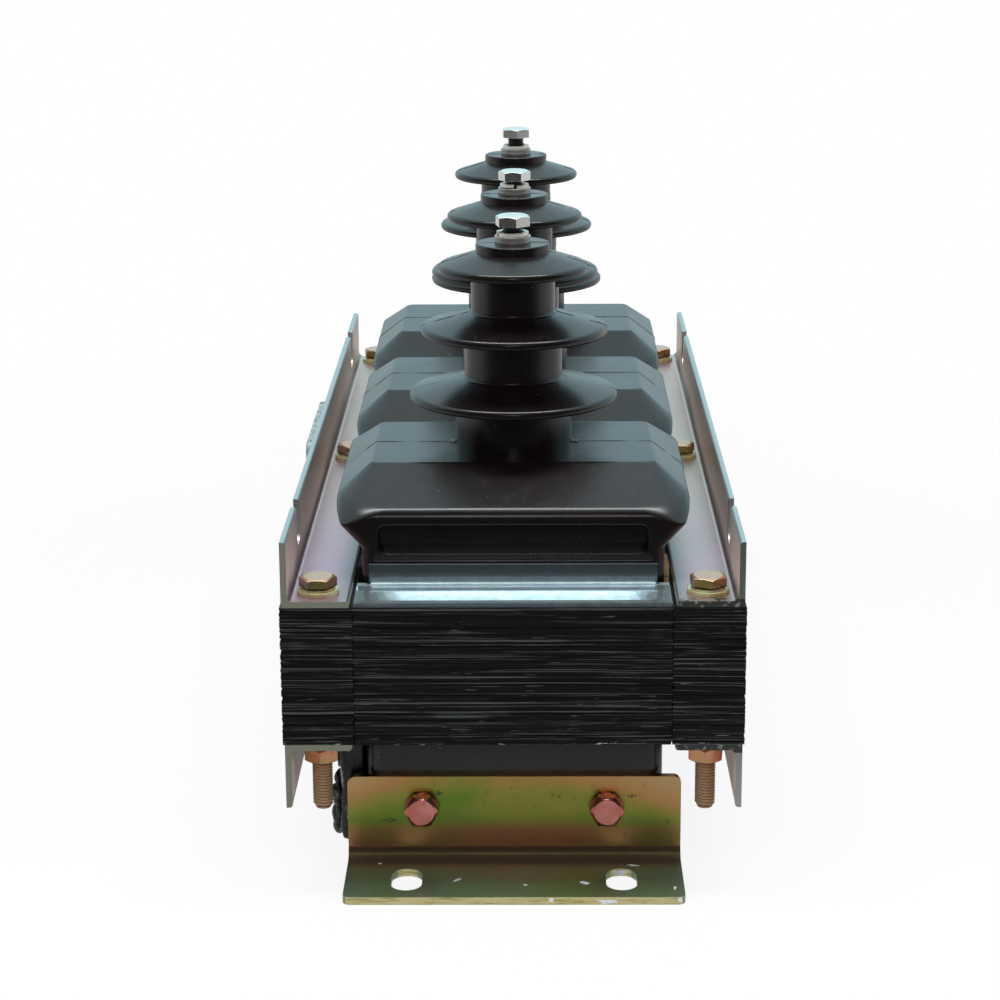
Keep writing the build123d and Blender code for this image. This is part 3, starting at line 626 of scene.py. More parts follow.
def make_zinc(colours, reaches, core_end, core_low, core_high, top, toe):
    """Passivated zinc: lilac and green flanges, pink brown legs with teal rims painted as a reflection,
    painted shade in the bend's fold, dirty cut ends.
    """
    finish = Finish("zinc_film")
    film = finish.grain(9.0, 3.0, 0.5, stretch=(1.0, 0.45, 1.3))
    near_tones = [
        (0.32, colours.zinc_green),
        (0.46, colours.zinc),
        (0.60, colours.zinc_lilac),
        (0.74, colours.zinc),
    ]
    near = finish.ramp(film, near_tones)
    far = finish.ramp(film, [(0.35, colours.zinc_far), (0.55, colours.zinc_tan), (0.70, colours.zinc_lilac)])
    base = finish.mix(near, far, 0.8 * finish.rise(finish.y, -0.9 * core_end, 0.0))
    middle = (core_low + core_high) / 2
    up = (abs(finish.z - middle) - (core_high - middle)) / (top - core_high)
    turn = abs(finish.facing(0))
    leg = finish.rise(turn, 0.6, 0.9)
    drift = finish.grain(20.0, 4.0, 0.6, (1.0, 0.3, 1.0)) - 0.5
    leg_tones = [
        (0.12, colours.zinc_root),
        (0.34, colours.zinc_leg),
        (0.72, colours.zinc_tan),
        (0.95, colours.zinc_green),
    ]
    base = finish.mix(base, finish.ramp(up + 0.7 * drift, leg_tones), leg)
    # Painted shade in the fold of the bend.
    root = finish.rise(turn, 0.35, 0.6) * (1.0 - finish.rise(turn, 0.93, 0.99))
    base = finish.mix(base, colours.zinc_fold_shade, 0.75 * root)
    base = finish.mix(base, colours.slot_wall, 0.8 * finish.rise(abs(finish.facing(1)), 0.6, 0.9))
    # Painted teal reflection along the toes and the upper edges.
    inner = finish.rise(abs(finish.x), toe + reaches.toe_full, toe + reaches.toe_end)
    base = finish.mix(base, colours.teal_edge_reflection, (1.0 - inner) * (0.3 + 0.6 * film))
    rims = finish.rise(finish.z, top - reaches.rim_end, top - reaches.rim_full)
    base = finish.mix(base, colours.teal_edge_reflection, rims)
    spots = finish.specks(190.0, 0.09, 0.03) + finish.specks(420.0, 0.1, 0.02)
    smears = finish.rise(finish.grain(34.0, 6.0, 0.7), 0.6, 0.85)
    base = finish.mix(base, colours.zinc_smear, smears * 0.3)
    base = finish.mix(base, colours.grime, spots)
    right = finish.x > 0.0
    ragged = finish.rise(finish.grain(75.0, 4.0, 0.7), 0.44, 0.62)
    reach = reaches.cut_dirt + right * (reaches.cut_spread * ragged)
    ends = (abs(finish.y) > core_end - reach) * (up < 0.13 + (1.0 - right))
    grime = ends * 0.96
    black = right * finish.rise(finish.grain(300.0, 4.0), 0.62, 0.55)
    base = finish.mix(base, finish.mix(colours.cut_end, colours.grime, black), grime)
    finish.bump(finish.grain(55.0, 4.0) + 0.25 * finish.grain(700.0, 2.0), 0.06, 0.0005)
    metal = (1.0 - grime) * (1.0 - 0.6 * leg)
    return finish.dress(Base_Color=base, Roughness=0.40 + 0.16 * smears + 0.2 * grime, Metallic=metal)


def make_galvanised(colours, reaches, sizes, lip, outer, plate_top, lip_top):
    """Galvanised sheet with faint spangles; a bump makes the plates fall off to both edges and the lips lean
    back in their shading.
    """
    finish = Finish("galvanised_sheet", Metallic=0.78)
    tone = finish.node("ShaderNodeSeparateXYZ", inputs={0: finish.cells(230.0, "Color")})
    mottle = tone * 0.3 + finish.grain(150.0, 5.0, 0.7) * 0.75
    base = finish.mix(colours.sheet_dark, colours.sheet_light, finish.rise(mottle, 0.25, 0.9))
    base = finish.mix(base, colours.grime, finish.specks(260.0, 0.10, 0.05) * 0.7)
    upright = finish.rise(abs(finish.facing(1)), 0.05, 0.4)
    shade = 0.36 + 0.5 * finish.rise(finish.z, plate_top, lip_top)
    base = finish.mix(base, colours.sheet_shade, upright * shade)
    along = abs(finish.y)
    slopes = math.tan(sizes.lip_lean) * finish.z
    for past in (along - (outer - sizes.droop_run), (lip + sizes.near_run) - along):
        past = finish.node("ShaderNodeMath", {"operation": "MAXIMUM"}, {0: past, 1: 0.0})
        slopes = slopes + math.tan(sizes.droop) * past
    finish.bump(reaches.spangle * finish.grain(260.0, 4.0) - slopes, 1.0, 1.0)
    low = 1.0 - finish.rise(finish.z, plate_top + reaches.bend_dull, plate_top + reaches.bend_end)
    bend = low * (1.0 - finish.rise(along, lip + reaches.bend_dull, lip + reaches.bend_end))
    return finish.dress(Base_Color=base, Roughness=0.035 + 0.03 * mottle + 0.42 * bend)


def make_yellow_zinc(name, colours, reaches, stops, top=None, sides=None, seat=0.0, metal=1.0):
    """Yellow passivated zinc on small pieces: its colours drift, differ by side as painted light and shade,
    and pale on top as a painted highlight.
    """
    finish = Finish(name, Metallic=metal)
    drift = finish.grain(60.0, 2.0)
    base = finish.ramp(drift, stops)
    # Each face takes a colour by the way it turns: painted light and shade.
    if sides:
        side_light_turn = 0.5 + 0.5 * finish.facing(0) + 0.3 * (drift - 0.5)
        base = finish.mix(base, finish.ramp(side_light_turn, sides), 0.75)
    if seat:
        shade = 1.0 - finish.rise(abs(finish.z - seat), reaches.seat_dark, reaches.seat_end)
        base = finish.mix(base, colours.seat, 0.9 * shade)
    # Faces turned up are painted paler: a painted highlight.
    if top:
        base = finish.mix(base, top, finish.rise(finish.facing(2), 0.6, 0.9))
    marks = finish.rise(finish.grain(420.0, 4.0, 0.7), 0.55, 0.75)
    base = finish.mix(base, colours.scuff, marks * 0.4)
    finish.bump(finish.grain(500.0, 3.0), 0.12, 0.0002)
    return finish.dress(Base_Color=base, Roughness=0.24 + 0.16 * marks)


def make_foot_zinc(colours, reaches, height, half_width, thick, shin):
    """Yellow passivated zinc of the feet: olive middle, orange corners, red above the bend; the flat legs
    carry a painted reflection of the upright legs, and the bend's crease painted shade.
    """
    finish = Finish("foot_zinc", Metallic=1.0)
    drift = finish.grain(14.0, 3.0, 0.5, stretch=(1.0, 1.0, 1.4)) - 0.5
    rim = abs(finish.x) / half_width
    up = finish.z / height
    corners = 0.62 * rim * rim * finish.rise(up, 0.25, 0.95)
    film = corners + 0.26 * finish.rise(up, 0.74, 1.0) + 0.9 * drift + 0.12
    tones = [(0.08, colours.olive), (0.34, colours.mustard), (0.56, colours.salmon), (0.88, colours.peach)]
    base = finish.ramp(film, tones)
    band = finish.rise(up, 0.10, 0.18) * (1.0 - finish.rise(up, 0.36, 0.52))
    base = finish.mix(base, colours.bend_red, band * (0.62 + 1.2 * drift))
    # The flat leg's colour is partly its zinc, partly a painted reflection of the upright leg; browner beside
    # the bend.
    flat = 1.0 - finish.rise(finish.z, thick + reaches.sole_full, thick + reaches.sole_end)
    shade = finish.mix(colours.brown, colours.moss, finish.rise(drift, -0.05, 0.2))
    away = finish.rise(abs(finish.y), shin + reaches.bend_brown_reflection, shin + reaches.brown_end)
    shade = finish.mix(shade, colours.bend_brown_reflection, 1.0 - away)
    base = finish.mix(base, shade, flat)
    streaks = finish.grain(1.0, 4.0, 0.7, stretch=(60.0, 60.0, 700.0))
    toe = flat * finish.rise(abs(finish.facing(1)), 0.6, 0.9)
    base = finish.mix(base, finish.mix(colours.toe, colours.mustard, finish.rise(streaks, 0.45, 0.7)), toe)
    marks = finish.rise(finish.grain(240.0, 6.0, 0.75), 0.56, 0.72)
    base = finish.mix(base, colours.foot_scuff, marks * 0.3)
    # Painted shade in the crease of the bend; the same mask dulls the metal there.
    off_crease = abs(finish.z - (thick + reaches.crease))
    dirt = 1.0 - finish.rise(off_crease, reaches.crease_shade_full, reaches.crease_shade_end)
    base = finish.mix(base, colours.bend_crease_shade, dirt * 0.9)
    ragged = finish.rise(finish.grain(700.0, 3.0), 0.46, 0.54)
    for across, level_share, reach in SMUDGES:
        away = abs(finish.x - across) / reach + abs(up - level_share) / SMUDGE_HEIGHT_SHARE
        base = finish.mix(base, colours.smudge, 0.8 * ragged * (1.0 - finish.rise(away, 0.55, 1.0)))
    finish.bump(finish.grain(320.0, 4.0), 0.06, 0.0003)
    rough = 0.30 + 0.14 * marks + 0.06 * flat + 0.35 * dirt
    return finish.dress(Base_Color=base, Roughness=rough, Metallic=1.0 - 0.25 * flat - 0.5 * dirt)


def make_thread(name, light, dark):
    """A thread with painted light on its upper flanks and painted shade on its lower ones."""
    finish = Finish(name, Metallic=0.7)
    # Upper flanks painted lighter, lower ones darker: painted light and shade.
    base = finish.mix(dark, light, finish.rise(finish.facing(2) + 0.5 * finish.grain(200.0), 0.05, 0.5))
    finish.bump(finish.grain(500.0, 3.0), 0.1, 0.0002)
    return finish.dress(Base_Color=base, Roughness=0.3 + 0.2 * finish.grain(300.0))


def make_packing(colours):
    """Pressboard soaked with black varnish, tan where it shows on the right."""
    finish = Finish("pressboard", Specular_IOR_Level=0.25)
    fibres = finish.grain(420.0, 5.0, 0.7)
    dry = finish.rise(fibres + 0.7 * (finish.grain(90.0, 3.0) - 0.5), 0.42, 0.52) * (finish.x > 0.0)
    base = finish.mix(colours.varnish, colours.board, dry)
    finish.bump(fibres, 0.5, 0.0004)
    return finish.dress(Base_Color=base, Roughness=0.6 + 0.3 * dry)


def make_plain(name, first, second, scale, rough, relief):
    """A dull finish of two mottled colours."""
    finish = Finish(name, Specular_IOR_Level=0.35)
    mottle = finish.grain(scale, 6.0, 0.7)
    finish.bump(finish.grain(scale * 3.0, 4.0), relief, 0.0004)
    return finish.dress(
        Base_Color=finish.mix(first, second, finish.rise(mottle, 0.35, 0.7)), Roughness=rough + 0.2 * mottle
    )


def round_off(bm, geom, radius, segments, affect="EDGES"):
    """Round edges, or the corners of an outline."""
    bmesh.ops.bevel(
        bm,
        geom=geom,
        offset=radius,
        offset_type="OFFSET",
        affect=affect,
        segments=segments,
        profile=0.5,
        material=-1,
        clamp_overlap=affect == "EDGES",
    )


def is_sharp(edge, degrees):
    """Whether the two faces at an edge turn by more than an angle."""
    return len(edge.link_faces) == 2 and edge.calc_face_angle() > math.radians(degrees)


def lies_at(part, axis, level):
    """Whether all corners of an edge or a face lie at a level along an axis."""
    return all(abs(vert.co[axis] - level) < NEAR for vert in part.verts)


def paint_faces(verts, index):
    """Give the faces round some vertices one of the piece's finishes."""
    for vert in verts:
        for face in vert.link_faces:
            face.material_index = index


def finish_edges(bm, width, segments=2, sharp=22.0):
    """Round the sharp edges of a shape."""
    bm.normal_update()
    round_off(bm, [edge for edge in bm.edges if is_sharp(edge, sharp)], width, segments)


def cad_copy(node, edge=0.0):
    """A merged copy of a CAD node's mesh with its flat faces made whole and its edges rounded."""
    bm = bmesh.new()
    bm.from_mesh(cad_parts[node].data)
    bmesh.ops.remove_doubles(bm, verts=bm.verts, dist=MERGE)
    bmesh.ops.dissolve_limit(bm, angle_limit=math.radians(0.3), verts=bm.verts, edges=bm.edges)
    if edge:
        finish_edges(bm, edge)
    return bm


def keep_piece(bm, name, finishes, nodes, smooth=36.0):
    """Make a shape a piece that rides on the part and stands for its CAD nodes."""
    mesh = bpy.data.meshes.new(name)
    bm.to_mesh(mesh)
    bm.free()
    mesh.shade_smooth()
    mesh.set_sharp_from_angle(angle=math.radians(smooth))
    for finish in finishes:
        mesh.materials.append(finish.material)
    piece = bpy.data.objects.new(name, mesh)
    bpy.context.scene.collection.objects.link(piece)
    flats = piece.modifiers.new("true_flats", "WEIGHTED_NORMAL")
    flats.keep_sharp = True
    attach(piece, "root")
    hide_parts(*nodes)
    return piece


def dress_node(node, edge, finish):
    """Keep a CAD node's own shape, with its edges rounded, as a piece."""
    keep_piece(cad_copy(node, edge), f"dressed_{node}", [finish], [node])


def middle_of(node):
    """Middle of a CAD node's box."""
    low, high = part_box(node)
    return (low + high) / 2


def box_of(verts):
    """Lowest and highest corners of some vertices."""
    sides = [[vert.co[axis] for vert in verts] for axis in range(3)]
    return Vector([min(side) for side in sides]), Vector([max(side) for side in sides])


def islands(bm):
    """Groups of joined vertices, one for each loose part, from front to rear and from left to right."""
    seen = set()
    groups = []
    for start in bm.verts:
        if start in seen:
            continue
        seen.add(start)
        group = [start]
        for vert in group:
            for edge in vert.link_edges:
                other = edge.other_vert(vert)
                if other not in seen:
                    seen.add(other)
                    group.append(other)
        groups.append(group)

    def place(group):
        low, high = box_of(group)
        return low.y + high.y + ACROSS_WEIGHT * (low.x + high.x)

    return sorted(groups, key=place)


def turn_islands(bm, axis, degrees):
    """Turn each loose part about its own axis."""
    for group, turn in zip(islands(bm), degrees):
        low, high = box_of(group)
        matrix = Matrix.Rotation(math.radians(turn), 3, axis)
        bmesh.ops.rotate(bm, verts=group, cent=(low + high) / 2, matrix=matrix)


def rounded_loop(bm, centre, width, depth, corner, steps=9):
    """A level rounded rectangle; gives its face and its edges."""
    before = set(bm.edges)
    place = Matrix.Translation(centre) @ Matrix.Diagonal((width, depth, 1.0, 1.0))
    made = bmesh.ops.create_grid(bm, x_segments=1, y_segments=1, size=0.5, matrix=place)
    round_off(bm, made["verts"], corner, steps, "VERTICES")
    edges = [edge for edge in bm.edges if edge not in before]
    return edges[0].link_faces[0], edges


def round_level(bm, level, radius, segments):
    """Round the sharp edges that lie level at a height."""
    bm.normal_update()
    edges = [edge for edge in bm.edges if is_sharp(edge, 5.0) and lies_at(edge, 2, level)]
    round_off(bm, edges, radius, segments)


def slice_faces(bm, faces, spot, normal):
    """Cut faces where a plane crosses them."""
    parts = list(dict.fromkeys(part for face in faces for part in (face, *face.edges, *face.verts)))
    bmesh.ops.bisect_plane(bm, geom=parts, plane_co=spot, plane_no=normal, dist=MERGE)


def cut_pocket(bm, sizes, place_y, side, low, high, half_depth):
    """Sink a pocket with rounded ends into one end face of a head, and round its mouth."""
    half = sizes.body_width / 2 - sizes.pocket_end_wall
    face_y = place_y + side * half_depth
    across = Vector((1, 0, 0))
    cuts = [((0, 0, level), UP) for level in (low, high)]
    cuts += [((place, 0, 0), across) for place in (-half, half)]
    for spot, normal in cuts:
        slice_faces(bm, [face for face in bm.faces if lies_at(face, 1, face_y)], spot, normal)

    def inside(part):
        spots = [vert.co for vert in part.verts]
        return all(low - NEAR < spot.z < high + NEAR and abs(spot.x) < half + NEAR for spot in spots)

    picked = [face for face in bm.faces if lies_at(face, 1, face_y) and inside(face)]
    sunk = bmesh.ops.extrude_face_region(bm, geom=picked)["geom"]
    verts = [item for item in sunk if isinstance(item, bmesh.types.BMVert)]
    bmesh.ops.translate(bm, verts=verts, vec=(0, -side * sizes.pocket_depth, 0))
    bmesh.ops.delete(bm, geom=picked, context="FACES")
    deep = [edge for edge in bm.edges if inside(edge)]
    most = sizes.pocket_depth * 0.9
    runs = [edge for edge in deep if abs(edge.verts[0].co.y - edge.verts[1].co.y) > most]
    runs = [edge for edge in runs if abs(edge.verts[0].co.y - face_y) < sizes.pocket_depth + NEAR]
    round_off(bm, runs, sizes.pocket_corner, 5)
    bm.normal_update()
    mouth = [edge for edge in bm.edges if lies_at(edge, 1, face_y)]
    mouth = [edge for edge in mouth if is_sharp(edge, 45.0) and inside(edge)]
    round_off(bm, mouth, sizes.pocket_round, 3)


def add_head(bm, sizes, low, high, core_top):
    """Body, flared head and sloping shoulders of one casting, bridged from level sections."""
    place_y = (low.y + high.y) / 2
    depth = high.y - low.y
    rim_width = high.x - low.x
    neck = core_top + sizes.neck_rise
    flare = neck + sizes.flare_rise
    rim = flare + sizes.rim_rise
    band = rim + sizes.band_rise
    plateau = band + sizes.shoulder_rise
    climbed = sizes.band_rise / (sizes.band_rise + sizes.shoulder_rise)
    sections = (
        (low.z, sizes.body_width, depth, sizes.body_corner),
        (neck, sizes.body_width, depth, sizes.body_corner),
        (flare, sizes.body_width + 2 * sizes.flare_overhang, depth, sizes.flare_corner),
        (rim, rim_width, depth, sizes.rim_corner),
        (
            band,
            rim_width - 2 * sizes.band_lean,
            depth - climbed * (depth - sizes.plateau_depth),
            sizes.rim_corner - climbed * (sizes.rim_corner - sizes.plateau_corner),
        ),
        (plateau, sizes.plateau_width, sizes.plateau_depth, sizes.plateau_corner),
    )
    loops = []
    spare = []
    for number, (level, width, section_depth, corner) in enumerate(sections):
        face, edges = rounded_loop(bm, Vector((0, place_y, level)), width, section_depth, corner)
        loops.append(edges)
        if 0 < number < len(sections) - 1:
            spare.append(face)
    bmesh.ops.delete(bm, geom=spare, context="FACES_ONLY")
    for under, over in zip(loops, loops[1:]):
        bmesh.ops.bridge_loops(bm, edges=under + over)
    bmesh.ops.recalc_face_normals(bm, faces=bm.faces)
    bmesh.ops.dissolve_limit(bm, angle_limit=math.radians(0.05), verts=[], edges=bm.edges)
    round_level(bm, rim, sizes.rim_round, 6)
    for level in (low.z, flare, plateau):
        round_level(bm, level, sizes.edge_round, 3)
    for side in (-1, 1):
        cut_pocket(bm, sizes, place_y, side, core_top + sizes.pocket_rise, flare, depth / 2)
    return plateau


def add_bushing(bm, sizes, place_y, plateau, core_top):
    """Stem, three sheds and boss of one casting, spun from a rounded half section."""
    points = [(0.0, core_top), (sizes.lower_stem, core_top)]
    rims = set()
    roots = set()
    level = plateau
    sheds = (
        (sizes.lower_stem, sizes.lower_shed, sizes.lower_step, sizes.shed_slope, sizes.middle_stem),
        (sizes.middle_stem, sizes.middle_shed, sizes.middle_step, sizes.shed_slope, sizes.upper_stem),
        (sizes.upper_stem, sizes.upper_shed, sizes.upper_step, sizes.top_slope, sizes.boss),
    )
    for stem, shed, step, slope, upper in sheds:
        level += step
        under = level - sizes.shed_edge
        roots.add(len(points))
        rims.update((len(points) + 1, len(points) + 2))
        points += [(stem, under + sizes.shed_under), (shed, under), (shed, level)]
        if upper != sizes.boss:
            roots.add(len(points))
        points.append((upper, level + slope))
    boss_top = level + slope + sizes.boss_height
    edge = len(points)
    points += [(sizes.boss, boss_top), (0.0, boss_top)]
    verts = [bm.verts.new((across, place_y, up)) for across, up in points]
    for pair in zip(verts, verts[1:]):
        bm.edges.new(pair)
    known = set(bm.verts) - set(verts)
    rounds = (
        ([verts[number] for number in rims], sizes.edge_round),
        ([verts[number] for number in roots], sizes.root_round),
        ([verts[edge]], sizes.boss_round),
    )
    for picked, radius in rounds:
        round_off(bm, picked, radius, 5, "VERTICES")
    profile = [vert for vert in bm.verts if vert not in known]
    lines = [line for line in bm.edges if not line.link_faces and line.verts[0] in profile]
    bmesh.ops.spin(
        bm,
        geom=profile + lines,
        cent=(0, place_y, 0),
        axis=UP,
        angle=math.tau,
        steps=sizes.turns,
        use_merge=True,
    )
    bmesh.ops.remove_doubles(bm, verts=bm.verts, dist=MERGE)


def raise_seam(bm, place_y, sizes, start, seed):
    """Raise a broken ridge where the halves of the mould met, across the middle of a casting."""
    ripples = 95
    ripple_shift = seed * 7.3
    half = sizes.seam_width / 2
    along = Vector((0, 1, 0))
    edge = half + sizes.seam_margin
    for offset in (-edge, -half, 0.0, half, edge):
        slice_faces(bm, bm.faces, (0, place_y + offset, 0), along)
    long_runs = [
        edge
        for edge in bm.edges
        if edge.calc_length() > 4 * sizes.seam_width
        and abs(edge.verts[0].co.y - edge.verts[1].co.y) < MERGE
        and abs(edge.verts[0].co.y - place_y) < half + NEAR
        and min(vert.co.z for vert in edge.verts) > start
    ]
    bmesh.ops.subdivide_edges(bm, edges=long_runs, cuts=15, use_grid_fill=True)
    bm.normal_update()
    for vert in bm.verts:
        if abs(vert.co.y - place_y) < NEAR and vert.co.z > start:
            spot = Vector((vert.co.x * ripples, ripple_shift, vert.co.z * ripples))
            broken = min(max((noise.noise(spot) + 0.22) * 5, 0.0), 1.0)
            vert.co += vert.normal * sizes.seam_height * broken


def add_flash(bm, sizes, stem, place_y, level, seed):
    """Crumbs of resin flash where the mould line meets the stem."""
    dice = random.Random(seed)
    for side in (-1, 1):
        for step in range(3):
            size = sizes.flash * dice.uniform(0.35, 0.8)
            out = stem + size * 0.3 + step * sizes.flash * 0.5
            spot = Vector((side * out, place_y, level + size * 0.2))
            shape = Matrix.Diagonal((size, size * 0.5, size * dice.uniform(0.5, 1.0), 1.0))
            place = Matrix.Translation(spot) @ shape
            crumb = bmesh.ops.create_icosphere(bm, subdivisions=2, radius=1.0, matrix=place)
            paint_faces(crumb["verts"], 1)


class TRANSFORMER_OT_castings(bpy.types.Operator):
    """Make the three resin castings with their flared heads and shedded bushings"""

    bl_idname = "transformer.castings"
    bl_label = "Castings"

    def execute(self, context):
        settings = context.scene.transformer
        core_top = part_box("core_yoke_left")[1].z
        pitch = middle_of("casting_middle").y - middle_of("casting_front").y
        colours = settings.colours
        head_level = core_top + settings.casting.neck_rise
        resin = make_resin(colours, settings.reaches, pitch, head_level)
        flash = make_plain("resin_flash", colours.flash, colours.flash_dark, 400.0, 0.4, 0.3)
        for number, phase in enumerate(PHASES):
            low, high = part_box(f"casting_{phase}")
            place_y = (low.y + high.y) / 2
            bm = bmesh.new()
            plateau = add_head(bm, settings.casting, low, high, core_top)
            bushing = bmesh.new()
            add_bushing(bushing, settings.bushing, place_y, plateau, core_top)
            bmesh.ops.recalc_face_normals(bushing, faces=bushing.faces)
            raise_seam(bm, place_y, settings.casting, head_level, number)
            raise_seam(bushing, place_y, settings.casting, plateau, number + 0.5)
            spun = bpy.data.meshes.new(f"bushing_{phase}")
            bushing.to_mesh(spun)
            bushing.free()
            bm.from_mesh(spun)
            bpy.data.meshes.remove(spun)
            add_flash(bm, settings.casting, settings.bushing.lower_stem, place_y, plateau, number)
            keep_piece(bm, f"resin_casting_{phase}", [resin, flash], [f"casting_{phase}"], 30.0)
        return {"FINISHED"}


def add_sheets(bm, low, high, sizes, seed):
    """Stack packets of sheet in a box; thin bare sheets lie between them, and all edges are uneven."""
    bare_range, packet_range = (0.5, 0.9), (0.9, 2.2)
    calm = sizes.wave * 8
    dice = random.Random(seed)
    level = low.z
    while level < high.z - MERGE:
        bare = dice.random() < sizes.bare_share
        thick = sizes.sheet * dice.uniform(*(bare_range if bare else packet_range))
        top = min(level + thick, high.z)
        ragged = sizes.ragged * (sizes.bare_ragged if bare else 1.0)
        back = [dice.random() ** 2 * ragged for _ in range(4)]
        left, front = low.x + back[0], low.y + back[1]
        right, rear = high.x - back[2], high.y - back[3]
        centre = Vector(((left + right) / 2, (front + rear) / 2, (level + top) / 2))
        place = Matrix.Translation(centre) @ Matrix.Diagonal((right - left, rear - front, top - level, 1.0))
        made = bmesh.ops.create_cube(bm, size=1.0, matrix=place)
        paint_faces(made["verts"], int(bare))
        level = top
    long_edges = [edge for edge in bm.edges if edge.calc_length() > sizes.wave_length / 4]
    bmesh.ops.subdivide_edges(bm, edges=long_edges, cuts=11, use_grid_fill=True)
    for vert in bm.verts:
        inside = min(vert.co.z - low.z, high.z - vert.co.z, calm) / calm
        wander = noise.noise(vert.co / sizes.wave_length + Vector((seed * 5.1, 0, 0)))
        vert.co.z += sizes.wave * inside * 2 * wander


class TRANSFORMER_OT_core(bpy.types.Operator):
    """Stack the sheets of the yokes and limbs"""

    bl_idname = "transformer.core"
    bl_label = "Core"

    def execute(self, context):
        settings = context.scene.transformer
        low_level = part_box("core_yoke_left")[0].z
        varnish = make_core_varnish(settings.colours, settings.reaches, low_level)
        edge = make_sheet_edge(settings.colours, settings.reaches, low_level)
        nodes = [f"core_yoke_{side}" for side in SIDES]
        nodes += [f"core_end_limb_{end}" for end in ENDS]
        nodes += [f"core_wound_limb_{phase}" for phase in PHASES]
        for seed, node in enumerate(nodes):
            low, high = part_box(node)
            bm = bmesh.new()
            add_sheets(bm, low, high, settings.core, seed)
            keep_piece(bm, f"stacked_{node}", [varnish, edge], [node])
        return {"FINISHED"}


def add_round_bar(bm, top, low_radius, high_radius, depth, segments):
    """A round bar or cone that hangs from a point."""
    bmesh.ops.create_cone(
        bm,
        cap_ends=True,
        segments=segments,
        radius1=low_radius,
        radius2=high_radius,
        depth=depth,
        matrix=Matrix.Translation(top - UP * (depth / 2)),
    )


def add_thread(bm, top, run, radius, sizes, steps=20):
    """A screw thread hanging from a point: one tooth swept down a helix, and a chamfered end."""
    turns = int((run - sizes.stud_chamfer) / sizes.pitch) - 1
    root = radius - sizes.thread_depth
    start = top + Vector((0, 0, -(run - sizes.stud_chamfer - (turns + 1) * sizes.pitch)))
    tooth = [Vector((root, 0, 0)), Vector((radius, 0, -sizes.pitch / 2)), Vector((root, 0, -sizes.pitch))]
    verts = [bm.verts.new(start + point) for point in tooth]
    edges = [bm.edges.new(pair) for pair in zip(verts, verts[1:])]
    bmesh.ops.spin(
        bm,
        geom=verts + edges,
        cent=start,
        axis=UP,
        dvec=(0, 0, -sizes.pitch / steps),
        angle=math.tau * turns,
        steps=steps * turns,
    )
    depth = run - sizes.stud_chamfer
    add_round_bar(bm, top - UP * depth, root - sizes.stud_chamfer / 2, root, sizes.stud_chamfer, steps)
    add_round_bar(bm, top, root, root, depth, steps)
    bmesh.ops.remove_doubles(bm, verts=bm.verts, dist=MERGE)


def cut_below(bm, level):
    """Take away what is below a level and close the cut."""
    bmesh.ops.bisect_plane(
        bm,
        geom=[*bm.verts, *bm.edges, *bm.faces],
        plane_co=(0, 0, level),
        plane_no=UP,
        dist=MERGE,
        clear_inner=True,
    )
    bmesh.ops.holes_fill(bm, edges=[edge for edge in bm.edges if edge.is_boundary])
    bmesh.ops.recalc_face_normals(bm, faces=bm.faces)


def add_split_washer(bm, low, high, bore, sizes, facing):
    """A split washer in a box: a square section wound nearly once round, its ends apart."""
    steps = 40
    centre = (low + high) / 2
    outer = (high.x - low.x) / 2
    inner = outer * bore
    thick = high.z - low.z
    sweep = math.tau - sizes.split
    turn = Matrix.Rotation(facing + sizes.split / 2, 4, "Z")
    rise = min(sizes.spring_rise, thick)
    wire = thick - rise / 2
    bottom = -thick / 2
    corners = ((inner, bottom), (outer, bottom), (outer, bottom + wire), (inner, bottom + wire))
    verts = [bm.verts.new(centre + (turn @ Vector((across, 0, up)))) for across, up in corners]
    face = bm.faces.new(verts)
    bmesh.ops.spin(
        bm,
        geom=[face, *face.edges, *verts],
        cent=centre,
        axis=UP,
        dvec=(0, 0, rise / 2 / steps),
        angle=sweep,
        steps=steps,
    )
    bmesh.ops.remove_doubles(bm, verts=bm.verts, dist=MERGE)
    open_edges = [edge for edge in bm.edges if len(edge.link_faces) == 1]
    bmesh.ops.holes_fill(bm, edges=open_edges, sides=4)
    bmesh.ops.recalc_face_normals(bm, faces=bm.faces)


def solids_of(node):
    """Boxes of the loose solids of a CAD node."""
    bm = bmesh.new()
    bm.from_mesh(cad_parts[node].data)
    bmesh.ops.remove_doubles(bm, verts=bm.verts, dist=MERGE)
    boxes = [box_of(group) for group in islands(bm)]
    bm.free()
    return boxes


